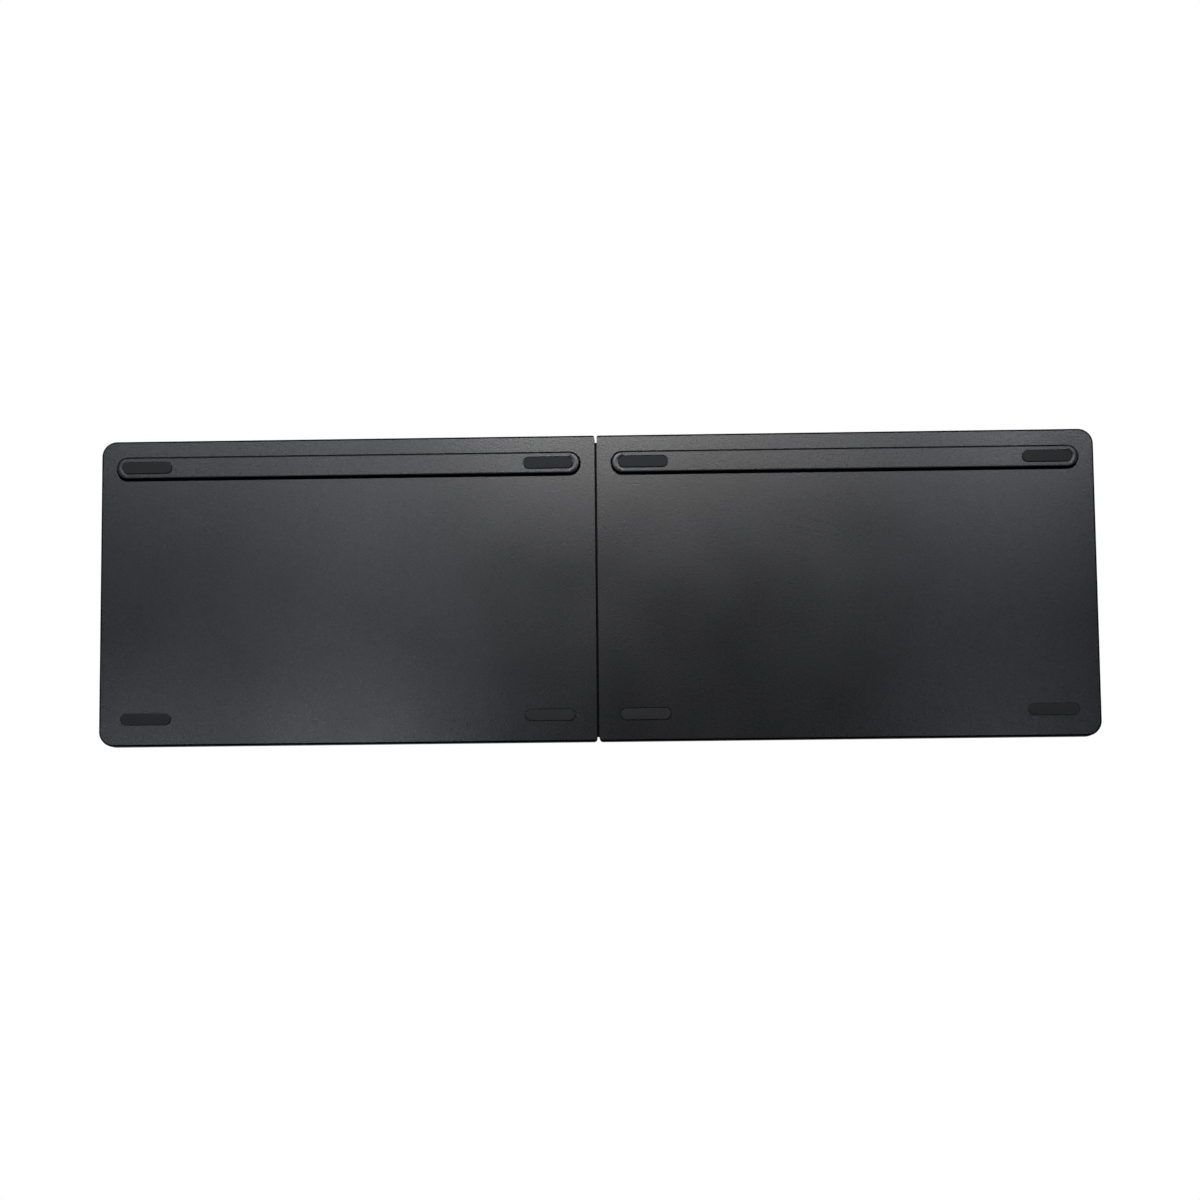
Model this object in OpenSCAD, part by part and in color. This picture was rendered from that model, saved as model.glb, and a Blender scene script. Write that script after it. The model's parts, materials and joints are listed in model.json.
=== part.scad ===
// Folding keyboard: two thin halves with scissor keys, joined by a knuckled hinge.
// +X runs to the typist's right, +Y to the rear, +Z up; the feet stand on z = 0.
// Sub-parts are drawn in the frame of one half: x = 0 on its hinge-side wall and growing
// outwards, y = 0 at mid depth, z = 0 on the outer face of its bottom cover.

/* [Keys] */
// Width of a one-unit key cell
key_unit = 18.3; // [17.6:0.1:19.4]
// Front-to-back pitch of the key rows
row_pitch = 15.1; // [14.5:0.1:17]
// Gap between neighbouring keycaps
key_gap = 2; // [1.7:0.1:2.5]
// Gap between a keycap and its opening in the deck
key_clearance = 0.35; // [0.2:0.05:0.5]
// Height of a keycap from skirt to top
cap_h = 1.4; // [1.3:0.05:1.6]
// Thickness of a keycap's top
cap_skin = 0.9; // [0.7:0.05:1]
// Thickness of a keycap's skirt at its foot
cap_wall = 1; // [0.8:0.05:1.3]
// Corner radius of a keycap
cap_r = 1.3; // [0.9:0.1:2]
// How far a keycap's side leans in over its height
cap_lean = 0.25; // [0.1:0.05:0.4]
// Height and width of the softened edge round a keycap's top
cap_edge = 0.25; // [0.1:0.05:0.35]
// How far the keycap tops stand below the rim of the case
cap_drop = 0.2; // [0.1:0.05:0.4]
// How far a key travels
key_travel = 1.2; // [0.8:0.1:1.2]

/* [Case] */
// Rim between the hinge side and the key block
hinge_margin = 3.4; // [3.2:0.1:5]
// Rim between the key block and the outer side
side_margin = 4; // [3.8:0.1:8]
// Rim in front of the key block
front_margin = 4.4; // [3.6:0.1:9]
// Depth of the electronics strip behind the key block
strip_d = 9.7; // [9.6:0.1:14]
// Thickness of a half without its feet
case_h = 5.3; // [5.2:0.05:6]
// Height of the seam between bottom cover and top frame
seam_h = 3.2; // [3.1:0.05:3.3]
// Thickness of the case's side walls
wall_t = 1.1; // [1:0.05:1.3]
// Thickness of the bottom cover's floor
floor_t = 0.9; // [0.8:0.05:0.95]
// Thickness of the top skin over the electronics strip
top_t = 0.8; // [0.7:0.05:0.9]
// Thickness of the deck between the keys
deck_t = 0.8; // [0.6:0.05:1]
// Radius of the outer corners
corner_r = 4.4; // [3:0.1:6]
// Radius of the hinge-side corner at the front
front_inner_r = 1; // [0.8:0.1:1.6]
// Radius of the hinge-side corner at the rear
rear_inner_r = 0.6; // [0.6:0.1:1.2]
// Softened edge round the outside of the case
edge_r = 0.5; // [0.3:0.05:0.55]
// Height of the ribs under the key plate
rib_h = 0.5; // [0.4:0.05:0.55]
// Width of the ribs under the key plate
rib_w = 0.8; // [0.6:0.1:1.2]
// Thickness of the locating lip under the top frame
lip_t = 0.8; // [0.6:0.05:1]
// Gap between the lip and the cover's wall
lip_gap = 0.1; // [0.05:0.05:0.15]
// Thickness of the wall between key block and electronics strip
partition_t = 0.8; // [0.6:0.05:1]
// Length of a snap hook on the front lip
snap_l = 6; // [4:0.5:9]
// How far a snap hook reaches into the wall
snap_reach = 0.35; // [0.2:0.05:0.4]

/* [Hinge] */
// Gap between the two halves when open
fold_gap = 0.7; // [0.6:0.05:1]
// Gap between the two rims when folded shut
closed_gap = 0.4; // [0.3:0.05:0.6]
// Radius of the hinge knuckles
knuckle_r = 1.9; // [1.8:0.05:2]
// Radial gap between a knuckle and the other half
knuckle_clearance = 0.2; // [0.1:0.05:0.25]
// Gap between neighbouring knuckles
knuckle_gap = 0.12; // [0.08:0.02:0.2]
// Number of knuckles
knuckles = 7; // [7, 11]
// Open slot between the halves beyond each end of the hinge
hinge_end_gap = 1.6; // [1.6:0.1:5]
// Radius of the hinge pins
pin_r = 0.75; // [0.6:0.05:0.85]
// Radial running clearance round a hinge pin
pin_fit = 0.05; // [0.03:0.01:0.08]
// Thickness of the hinge leaf's base
leaf_t = 0.6; // [0.5:0.05:0.7]
// How far the hinge leaf reaches into its half
leaf_w = 6.4; // [6:0.1:6.6]
// Thickness of the webs that carry the knuckles
web_t = 0.8; // [0.6:0.05:0.9]
// Radius of the cable that crosses the hinge
cable_r = 0.5; // [0.35:0.05:0.55]

/* [Rail and feet] */
// Width of the raised rail under the rear edge
rail_w = 5.9; // [5.3:0.1:7]
// Height of the raised rail
rail_h = 1.2; // [1:0.05:2]
// Softened edge round the rail
rail_edge = 0.3; // [0.15:0.05:0.4]
// Width of the parting groove round the rail
rail_groove = 0.45; // [0.2:0.05:0.6]
// Distance from the rear edge to the rail's centre line
rail_rear_inset = 8.1; // [7.8:0.1:8.2]
// Distance from the hinge side to the rail's end
rail_hinge_inset = 4.45; // [3:0.05:5]
// Distance from the outer side to the rail's end
rail_side_inset = 4.8; // [3:0.1:5.1]
// Length of a rubber foot
foot_l = 14.5; // [12:0.1:18]
// Width of a rubber foot
foot_w = 3.3; // [3.1:0.1:4]
// Gap between a foot and the edge of its pocket
foot_gap = 0.2; // [0.1:0.05:0.25]
// Depth of the foot pockets
foot_pocket = 0.5; // [0.3:0.05:0.55]
// How far a rear foot stands out of the rail
rear_foot_out = 0.4; // [0.3:0.05:0.8]
// How far a front foot stands out of the cover
front_foot_out = 0.25; // [0.2:0.05:0.5]
// Distance from the hinge side to the nearer feet
foot_hinge_inset = 6.25; // [5.6:0.05:9]
// Distance from the outer side to the further feet
foot_side_inset = 6.4; // [5.9:0.1:9]
// Distance from the front edge to the front feet's centre line
front_foot_inset = 7.8; // [6:0.1:10]

/* [Key mechanism] */
// Thickness of the steel key plate
plate_t = 0.3; // [0.2:0.05:0.35]
// Thickness of the contact membrane
membrane_t = 0.25; // [0.15:0.05:0.3]
// Length of a scissor frame
scissor_l = 10; // [9:0.1:10.2]
// Width of the outer scissor frame
scissor_w = 9; // [8.6:0.1:9.6]
// Width of the bars of a scissor frame
scissor_bar = 1; // [0.8:0.05:1.1]
// Thickness of the bars of a scissor frame
scissor_t = 0.7; // [0.5:0.05:0.8]
// Side gap between the inner and outer scissor frames
scissor_gap = 0.1; // [0.05:0.05:0.2]
// Radius of a scissor's pivot stubs
pivot_r = 0.22; // [0.18:0.01:0.25]
// Radial clearance round a pivot stub
pivot_fit = 0.05; // [0.03:0.01:0.06]
// Radius of a rubber dome at its foot
dome_r = 2; // [1.7:0.05:2.1]
// Wall thickness of a rubber dome
dome_t = 0.25; // [0.2:0.05:0.3]
// Spacing of the two scissors under a space key
wide_scissor_pitch = 24; // [20:1:28]

/* [Electronics] */
// Length of the battery
battery_l = 54; // [40:1:56]
// Width of the battery
battery_w = 6.6; // [5.5:0.1:6.8]
// Thickness of the battery
battery_h = 3; // [2:0.1:3.2]
// Distance from the hinge side to the battery
battery_x = 19; // [18.5:0.5:22]
// Length of the controller board
board_l = 48; // [44:1:50]
// Gap between the controller board and the outer screw boss
board_gap = 0.6; // [0.4:0.1:1.2]
// Thickness of the controller board
board_t = 0.6; // [0.4:0.1:0.8]
// Distance from the board's outer end to the charging port's centre
port_inset = 16; // [15.5:0.5:16.5]
// Distance from the board's outer end to the power switch's centre
switch_inset = 5; // [4.5:0.5:5.5]
// How far the power switch slides
switch_travel = 2; // [1.5:0.1:2.2]
// Depth of the charging port's shell
port_d = 7.3; // [6.5:0.1:7.3]
// Wall thickness of the charging port's shell
port_t = 0.3; // [0.25:0.05:0.35]
// Radius of an indicator light
light_r = 0.6; // [0.4:0.05:0.8]
// Spacing of the indicator lights
light_pitch = 3.6; // [2.8:0.1:4]

/* [Hidden] */
// Rows of [node, width in units], rear row first, each from left to right
left_rows = [
    [["left_number_keys", 1.25], ["left_number_keys", 1], ["left_number_keys", 1],
     ["left_number_keys", 1], ["left_number_keys", 1], ["left_number_keys", 1],
     ["left_number_keys", 1.25]],
    [["left_modifier_keys", 1.75], ["key_q", 1], ["key_w", 1], ["key_e", 1], ["key_r", 1],
     ["key_t", 1.75]],
    [["left_modifier_keys", 2], ["key_a", 1], ["key_s", 1], ["key_d", 1], ["key_f", 1],
     ["key_g", 1.5]],
    [["left_modifier_keys", 2.25], ["key_z", 1], ["key_x", 1], ["key_c", 1], ["key_v", 1],
     ["key_b", 1.25]],
    [["left_modifier_keys", 1.25], ["left_modifier_keys", 1], ["left_modifier_keys", 1],
     ["left_modifier_keys", 1.25], ["left_space_key", 3]]
];
right_rows = [
    [["right_number_keys", 1], ["right_number_keys", 1], ["right_number_keys", 1],
     ["right_number_keys", 1], ["right_number_keys", 1], ["right_number_keys", 1],
     ["right_number_keys", 1.5]],
    [["key_y", 1], ["key_u", 1], ["key_i", 1], ["key_o", 1], ["key_p", 1],
     ["right_punctuation_keys", 1], ["right_punctuation_keys", 1.5]],
    [["key_h", 1], ["key_j", 1], ["key_k", 1], ["key_l", 1], ["right_punctuation_keys", 1],
     ["right_punctuation_keys", 1], ["right_modifier_keys", 1.5]],
    [["key_n", 1], ["key_m", 1], ["right_punctuation_keys", 1], ["right_punctuation_keys", 1],
     ["right_punctuation_keys", 1], ["right_modifier_keys", 1], ["right_modifier_keys", 1.5]],
    [["right_space_key", 2.5], ["right_modifier_keys", 1], ["right_modifier_keys", 1],
     ["right_modifier_keys", 1], ["right_modifier_keys", 1], ["right_modifier_keys", 1]]
];
left_keys = [
    "key_q", "key_w", "key_e", "key_r", "key_t", "key_a", "key_s", "key_d", "key_f", "key_g",
    "key_z", "key_x", "key_c", "key_v", "key_b", "left_space_key",
    "left_number_keys", "left_modifier_keys"
];
right_keys = [
    "key_y", "key_u", "key_i", "key_o", "key_p", "key_h", "key_j", "key_k", "key_l",
    "key_n", "key_m", "right_space_key",
    "right_number_keys", "right_punctuation_keys", "right_modifier_keys"
];

LEFT = -1;
RIGHT = 1;
$fn = 64;
edge_steps = 4;
// Overlap that joins solids, and overshoot of a cut past a face
sink = 0.05;
past = 1;

// Key block and outline of a half
function units_before(row, i) = i == 0 ? 0 : row[i - 1][1] + units_before(row, i - 1);
block_units = units_before(right_rows[0], len(right_rows[0]));
rows = len(right_rows);
block_w = block_units * key_unit;
block_d = rows * row_pitch;
half_w = hinge_margin + block_w + side_margin;
half_d = front_margin + block_d + strip_d;
front_y = -half_d / 2;
rear_y = half_d / 2;
block_front_y = front_y + front_margin;
block_rear_y = rear_y - strip_d;
opening_inset = key_gap / 2 - key_clearance;

// Levels
plate_z = floor_t + rib_h;
membrane_z = plate_z + plate_t;
membrane_top = membrane_z + membrane_t;
deck_top = seam_h + deck_t;
strip_ceiling = case_h - top_t;
cap_z = case_h - cap_drop - cap_h;
cap_ceiling = cap_z + cap_h - cap_skin;

// Hinge
axis_x = -fold_gap / 2;
axis_z = case_h + closed_gap / 2;
hinge_l = half_d - 2 * hinge_end_gap;
knuckle_l = (hinge_l - (knuckles - 1) * knuckle_gap) / knuckles;
knuckle_step = knuckle_l + knuckle_gap;
middle_knuckle = (knuckles - 1) / 2;
web_x = wall_t + lip_gap;
web_end = web_x + web_t;
meeting_y = knuckle_y(middle_knuckle) - knuckle_gap / 2;
cable_bend_r = 2 * cable_r + 1;
cable_slot_r = cable_r + 0.15;
cable_bore_r = cable_r + 0.3;
cable_dive = 45;
connector_l = 4.6;
connector_w = 1.9;
web_room = 0.1;
cable_room = 0.1;
connector_x = web_end + web_room;
connector_h = 1.3;
leaf_screw_insets = [9, 23];
leaf_screw_x = (web_end + leaf_w) / 2;
function knuckle_y(k) = -hinge_l / 2 + k * knuckle_step;
function knuckle_mid(k) = knuckle_y(k) + knuckle_l / 2;
// The left half carries the even knuckles, the right half the odd ones
function own_knuckles(side) = [for (k = [0 : knuckles - 1]) if (k % 2 == (side == LEFT ? 0 : 1)) k];
function exit_knuckle(side) = side == RIGHT ? middle_knuckle : middle_knuckle - 1;

// Rail and feet
rail_x = rail_hinge_inset;
rail_l = half_w - rail_hinge_inset - rail_side_inset;
rail_y = rear_y - rail_rear_inset;
front_foot_y = front_y + front_foot_inset;
foot_xs = [foot_hinge_inset + foot_l / 2, half_w - foot_side_inset - foot_l / 2];
rail_wall = 1;
rail_core_w = rail_w - 2 * rail_wall;
rail_core_inset = foot_hinge_inset + foot_l + 2 * rail_wall;
foot_trim = 0.2;

// Standing pose: the rail lifts the rear, so that all eight feet touch z = 0
rear_drop = rail_h + rear_foot_out;
slope = atan((rear_drop - front_foot_out) / (rail_y - front_foot_y));
seat_z = front_foot_out * cos(slope) - front_foot_y * sin(slope);
seat_y = case_h / 2 * sin(slope);

// Fasteners
snap_room = 0.1;
screw_room = 0.1;
screw_r = 0.7;
leaf_screw_fit = 0.05;
screw_head_r = 1.3;
screw_head_h = 0.55;
boss_r = 1.55;
boss_bite = 2.6;
leaf_head_r = 1.15;
leaf_screw_l = 1.6;

// Key mechanism
plate_room = 0.2;
sheet_margin = 0.2;
scissor_room = 0.1;
tab_room = 0.35;
tab_h = cap_ceiling - key_travel - membrane_z - tab_room;

// Magnets and their steel strikers
magnet_l = 10;
magnet_w = 1.5;
magnet_h = 1.3;
magnet_fit = 0.05;
magnet_ys = [-22, 22];
magnet_x = half_w - side_margin + 0.4;

// Electronics strip
strip_y = block_rear_y - opening_inset;
strip_front = strip_y + partition_t;
sheet_back = strip_y + partition_t / 2;
lip_x = leaf_w + 0.5;
lip_inset = wall_t + lip_gap;
strip_back = rear_y - lip_inset - lip_t;
board_end = foot_xs[1] - boss_r - board_gap;
board_x = board_end - board_l;
board_front = strip_front + 0.75;
board_back = strip_back - 0.1;
board_z = membrane_top;
port_x = board_end - port_inset;
port_w = 8.94;
port_h = 3.26;
port_z = floor_t + 0.22 + port_h / 2;
port_back = rear_y - 0.3;
port_front = port_back - port_d;
port_room = 0.2;
port_headroom = 0.1;
switch_x = board_end - switch_inset;
switch_z = board_z + board_t + 0.7;
switch_w = 6.6;
switch_h = 1.4;
knob_w = 2.2;
knob_h = 0.9;
knob_room = 0.15;
knob_fit = 0.08;
knob_recess = 0.15;
knob_bite = 1.9;
tail_x = 1.6;
tail_w = 5;
tail_overlap = 1.2;
light_fit = 0.05;
scoop_d = 0.5;
light_inset = 7;
light_x = board_x + light_inset;
light_y = (board_front + board_back) / 2;
light_xs = [for (i = [-1 : 1]) light_x + i * light_pitch];

case_colour = "#33343a";
frame_colour = "#3a3b41";
keycap_colour = "#26272b";
rubber_colour = "#1d1d20";
steel_colour = "#b9bcc0";
film_colour = "#9fb4a6";
scissor_colour = "#e7e7e2";
board_colour = "#1f5a3a";

// ---- placing ----

// Stands the body on its feet
module seated() {
    translate([0, seat_y, seat_z]) rotate([slope, 0, 0]) children();
}

// Moves a half's own frame to its side of the hinge
module placed(side) {
    seated() mirror([side == LEFT ? 1 : 0, 0, 0]) translate([fold_gap / 2, 0, 0]) children();
}

// Draws the children at each key cell's centre, with the cell's width in $cell_w
module at_keys(side, name = "") {
    layout = side == LEFT ? left_rows : right_rows;
    for (r = [0 : rows - 1], i = [0 : len(layout[r]) - 1]) {
        key = layout[r][i];
        $cell_w = key[1] * key_unit;
        from_left = units_before(layout[r], i) * key_unit;
        from_hinge = side == LEFT ? block_w - from_left - $cell_w : from_left;
        if (name == "" || key[0] == name)
            translate([hinge_margin + from_hinge + $cell_w / 2, block_rear_y - (r + 0.5) * row_pitch, 0])
                children();
    }
}

// Draws the children at each scissor: one under a key, two under a space key
module at_scissors(side) {
    at_keys(side) {
        offsets = $cell_w > 2.4 * key_unit ? [-wide_scissor_pitch / 2, wide_scissor_pitch / 2] : [0];
        for (x = offsets) translate([x, 0, 0]) children();
    }
}

// ---- plane shapes ----

// What a corner arc of radius r takes off the corner at [x, y]; sx and sy point inwards
module corner_waste(x, y, sx, sy, r) {
    translate([x, y]) mirror([sx < 0 ? 1 : 0, 0]) mirror([0, sy < 0 ? 1 : 0]) difference() {
        translate([-past, -past]) square(r + past);
        translate([r, r]) circle(r);
    }
}

// Outline of a half, drawn in by inset
module half_plan(inset = 0) {
    least_r = 0.3;
    x1 = half_w - inset;
    y1 = rear_y - inset;
    difference() {
        translate([inset, -y1]) square([x1 - inset, 2 * y1]);
        corner_waste(x1, y1, -1, -1, max(corner_r - inset, least_r));
        corner_waste(x1, -y1, -1, 1, max(corner_r - inset, least_r));
        corner_waste(inset, y1, 1, -1, max(rear_inner_r - inset, least_r));
        corner_waste(inset, -y1, 1, 1, max(front_inner_r - inset, least_r));
    }
}

// Bar with round ends, centred
module stadium(l, w) {
    square([l - w, w], center = true);
    for (x = [-1, 1] * (l - w) / 2) translate([x, 0]) circle(d = w);
}

// Rectangle with arcs of radius r, centred
module rounded_rectangle(l, w, r) {
    square([l - 2 * r, w], center = true);
    square([l, w - 2 * r], center = true);
    for (x = [-1, 1], y = [-1, 1]) translate([x * (l / 2 - r), y * (w / 2 - r)]) circle(r);
}

// ---- solids with softened edges ----

// Points of a side's profile, each [inset, height], as they stand on a block of half-width reach
function mirrored_profile(profile, reach) = concat(
    [for (p = profile) [reach - p[0], p[1]]],
    [for (i = [len(profile) - 1 : -1 : 0]) [profile[i][0] - reach, profile[i][1]]]);

// Block standing on z = 0 with one profile all round its side and corners of radius r
module softened_block(l, w, r, profile) {
    top = profile[len(profile) - 1][1];
    for (x = [-1, 1] * (l / 2 - r), y = [-1, 1] * (w / 2 - r)) translate([x, y, 0])
        rotate_extrude() polygon(concat([[0, 0]], [for (p = profile) [r - p[0], p[1]]], [[0, top]]));
    translate([l / 2 - r, 0, 0]) rotate([90, 0, -90])
        linear_extrude(l - 2 * r) polygon(mirrored_profile(profile, w / 2));
    translate([0, w / 2 - r, 0]) rotate([90, 0, 0])
        linear_extrude(w - 2 * r) polygon(mirrored_profile(profile, l / 2));
}

// Straight side of height h whose far edge is rounded to radius e
function softened_side(h, e) = concat([[0, 0]],
    [for (turn = [0 : 90 / edge_steps : 90]) [e * (1 - cos(turn)), h - e + e * sin(turn)]]);

// ---- case ----

// Solid slab of a half, softened round its far face on all sides but the hinge's
module case_slab(h) {
    difference() {
        translate([half_w / 2 - corner_r, 0, 0])
            softened_block(half_w + 2 * corner_r, half_d, corner_r, softened_side(h, edge_r));
        translate([-2 * corner_r - past, front_y - past, -past])
            cube([2 * corner_r + past, half_d + 2 * past, h + 2 * past]);
        translate([0, 0, -past]) linear_extrude(h + 2 * past) {
            corner_waste(0, rear_y, 1, -1, rear_inner_r);
            corner_waste(0, front_y, 1, 1, front_inner_r);
        }
    }
}

// Raised rail under the rear edge, softened round its face
module rail() {
    translate([rail_x + rail_l / 2, rail_y, sink]) mirror([0, 0, 1])
        softened_block(rail_l, rail_w, rail_w / 2 - sink, softened_side(rail_h + sink, rail_edge));
}

// Narrow groove in the cover's face round the foot of the rail
module rail_parting() {
    groove_depth = 0.3;
    translate([rail_x + rail_l / 2, rail_y, -past]) linear_extrude(past + groove_depth) difference() {
        stadium(rail_l + 2 * rail_groove, rail_w + 2 * rail_groove);
        stadium(rail_l, rail_w);
    }
}

// Lattice that carries the key plate
module plate_ribs() {
    cross_ribs = 8;
    rib_xs = [for (i = [0 : cross_ribs - 1]) hinge_margin + (i + 0.5) * block_w / cross_ribs];
    length = block_rear_y - front_y - wall_t;
    for (r = [0 : rows])
        translate([wall_t - sink, block_rear_y - r * row_pitch - rib_w / 2, floor_t - sink])
            cube([half_w - 2 * wall_t + 2 * sink, rib_w, rib_h + sink]);
    for (x = rib_xs)
        translate([x - rib_w / 2, front_y + wall_t - sink, floor_t - sink])
            cube([rib_w, length + rib_w / 2, rib_h + sink]);
}

// Pads behind the front feet's pockets and under the leaf's screws
module floor_pads() {
    pad_margin = 1;
    screw_pad_r = 2;
    for (x = foot_xs) translate([x, front_foot_y, floor_t - sink])
        linear_extrude(rib_h + sink) stadium(foot_l + 2 * pad_margin, foot_w + 2 * pad_margin);
    at_leaf_screws() translate([0, 0, floor_t - sink]) cylinder(h = rib_h + sink, r = screw_pad_r);
}

module at_leaf_screws() {
    for (inset = leaf_screw_insets, s = [-1, 1])
        translate([leaf_screw_x, s * (hinge_l / 2 - inset), 0]) children();
}

module foot_pockets() {
    for (x = foot_xs) {
        translate([x, front_foot_y, -past])
            linear_extrude(past + foot_pocket) stadium(foot_l + 2 * foot_gap, foot_w + 2 * foot_gap);
        translate([x, rail_y, -rail_h - past])
            linear_extrude(past + foot_pocket) stadium(foot_l + 2 * foot_gap, foot_w + 2 * foot_gap);
    }
}

// Hooks of the front lip; grow makes room for them in the cover's wall
module snap_hooks(grow = 0) {
    hook_h = 0.7;
    hook_z = seam_h - 1.1;
    hooks = 3;
    for (x = [for (i = [0 : hooks - 1]) (i + 0.5) / hooks * half_w])
        translate([x - snap_l / 2 - grow, front_y + lip_inset + sink, hook_z - grow])
            rotate([90, 0, 90]) linear_extrude(snap_l + 2 * grow)
                polygon([[0, 0], [-sink - lip_gap - snap_reach - grow, hook_h / 2 + grow / 2],
                         [-sink - lip_gap - snap_reach - grow, hook_h + 2 * grow],
                         [0, hook_h + 2 * grow]]);
}

// Openings of the rear wall for the charging port and the power switch
module rear_openings() {
    reach = lip_inset + lip_t + past;
    slot_w = switch_travel + knob_w + 2 * knob_room;
    scoop_margin = 1;
    translate([port_x, rear_y + past, port_z]) rotate([90, 0, 0])
        linear_extrude(past + reach) stadium(port_w + 2 * port_room, port_h + 2 * port_room);
    translate([switch_x, rear_y, switch_z]) {
        cube([slot_w, 2 * reach, knob_h + 2 * knob_room], center = true);
        cube([slot_w + 2 * scoop_margin, 2 * scoop_d, knob_h + scoop_margin], center = true);
    }
}

module bottom_cover(side) {
    color(case_colour) placed(side) difference() {
        union() {
            difference() {
                translate([0, 0, seam_h]) mirror([0, 0, 1]) case_slab(seam_h);
                translate([0, 0, floor_t]) linear_extrude(seam_h) half_plan(wall_t);
            }
            rail();
            plate_ribs();
            floor_pads();
            if (side == RIGHT) board_posts();
        }
        foot_pockets();
        rail_parting();
        snap_hooks(snap_room);
        hinge_seat();
        translate([half_w / 2, rail_y, -rail_h + floor_t])
            linear_extrude(rail_h + past) stadium(half_w - 2 * rail_core_inset, rail_core_w);
        for (x = foot_xs) translate([x, rail_y, -rail_h]) {
            cylinder(h = foot_pocket + screw_head_h, r = screw_head_r + screw_room);
            cylinder(h = rail_h + floor_t + past, r = screw_r + screw_room);
        }
        at_leaf_screws() translate([0, 0, membrane_z + leaf_t - leaf_screw_l])
            cylinder(h = leaf_screw_l, r = screw_r);
        if (side == RIGHT) rear_openings();
    }
}

// Posts under the controller board and under the membrane's tail
module board_posts() {
    post_w = 1.6;
    for (x = [board_x, board_x + board_l - post_w])
        translate([x, board_front, floor_t - sink])
            cube([post_w, board_back - board_front, board_z - floor_t + sink]);
    translate([board_x + tail_x, board_front, floor_t - sink])
        cube([tail_w, tail_overlap, membrane_z - floor_t + sink]);
}

// Lip that drops inside the cover's walls and clamps the key plate; none on the hinge side
module locating_lip() {
    translate([0, 0, membrane_z]) linear_extrude(seam_h - membrane_z + sink) difference() {
        half_plan(lip_inset);
        half_plan(lip_inset + lip_t);
        translate([0, front_y]) square([lip_x, half_d]);
    }
}

// Wall between the key block and the electronics strip, down to the membrane
module partition() {
    length = half_w - lip_inset - lip_t - lip_x;
    translate([lip_x, strip_y, membrane_top])
        cube([length + sink, partition_t, seam_h - membrane_top + sink]);
}

// Tubes from the top skin down to the floor, for the cover's screws
module screw_bosses() {
    for (x = foot_xs) translate([x, rail_y, floor_t])
        cylinder(h = strip_ceiling - floor_t + sink, r = boss_r);
}

// Plan of the electronics strip's hollow from front_wall_y to the rear lip, around the bosses
module strip_plan(front_wall_y) {
    difference() {
        intersection() {
            half_plan(lip_inset + lip_t);
            translate([hinge_margin, front_wall_y]) square([half_w, strip_d]);
        }
        for (x = foot_xs) translate([x, rail_y]) circle(boss_r);
    }
}

// Hollow of the electronics strip; above the deck it keeps clear of the key well's wall
module strip_hollow() {
    translate([0, 0, seam_h - past]) linear_extrude(deck_top - seam_h + past) strip_plan(strip_front);
    translate([0, 0, deck_top - sink]) linear_extrude(strip_ceiling - deck_top + sink)
        strip_plan(block_rear_y + partition_t);
}

// Shallow well that the keycaps stand in, down to the deck
module key_well() {
    well_r = 0.8;
    translate([hinge_margin + block_w / 2, block_front_y + block_d / 2, deck_top])
        linear_extrude(case_h) rounded_rectangle(block_w, block_d, well_r);
}

// Room under the top skin for the charging port's shell
module port_pocket() {
    translate([port_x - port_w / 2 - port_room, port_front - port_room, seam_h - past])
        cube([port_w + 2 * port_room, strip_back + sink - port_front + port_room,
              past + port_z + port_h / 2 + port_headroom - seam_h]);
}

module magnet_pockets() {
    for (y = magnet_ys) translate([magnet_x, y - magnet_l / 2, seam_h - past])
        cube([magnet_w, magnet_l, past + magnet_h] + magnet_fit * [2, 2, 1]);
}

// Round seat round the hinge's axis
module hinge_seat() {
    translate([axis_x, hinge_l / 2 + knuckle_gap, axis_z]) rotate([90, 0, 0])
        cylinder(h = hinge_l + 2 * knuckle_gap, r = knuckle_r + knuckle_clearance);
}

// Room for the knuckles: a round seat for the other half's, a notch for the half's own
module hinge_room(side) {
    hinge_seat();
    for (k = own_knuckles(side))
        translate([-past, knuckle_y(k) - knuckle_gap, seam_h - past])
            cube([past + web_end + web_room, knuckle_l + 2 * knuckle_gap, case_h]);
}

// Slanted slot that the cable takes from the hinge's axis down to its connector
module cable_slot(side, room) {
    y0 = -cable_bend_r - cable_r - room;
    translate([axis_x, knuckle_mid(exit_knuckle(side)), axis_z]) mirror([0, side == LEFT ? 1 : 0, 0])
        rotate([0, cable_dive, 0])
            translate([0, y0, -cable_slot_r - room])
                cube([connector_reach() + cable_r, cable_slot_r + room - y0, 2 * (cable_slot_r + room)]);
}

function connector_reach() = (web_end + connector_w / 2 - axis_x) / cos(cable_dive);

module top_frame(side) {
    color(frame_colour) placed(side) difference() {
        union() {
            difference() {
                translate([0, 0, seam_h]) case_slab(case_h - seam_h);
                strip_hollow();
            }
            locating_lip();
            partition();
            screw_bosses();
            snap_hooks();
        }
        key_well();
        at_keys(side) translate([0, 0, seam_h + deck_t / 2])
            cube([$cell_w - 2 * opening_inset, row_pitch - 2 * opening_inset, deck_t + past], center = true);
        for (x = foot_xs) translate([x, rail_y, floor_t - past])
            cylinder(h = boss_bite + past, r = screw_r);
        hinge_room(side);
        cable_slot(side, cable_room);
        magnet_pockets();
        if (side == RIGHT) {
            rear_openings();
            port_pocket();
            for (x = light_xs) translate([x, light_y, strip_ceiling - past])
                cylinder(h = top_t + 2 * past, r = light_r + light_fit);
        }
    }
}

// ---- hinge ----

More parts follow.
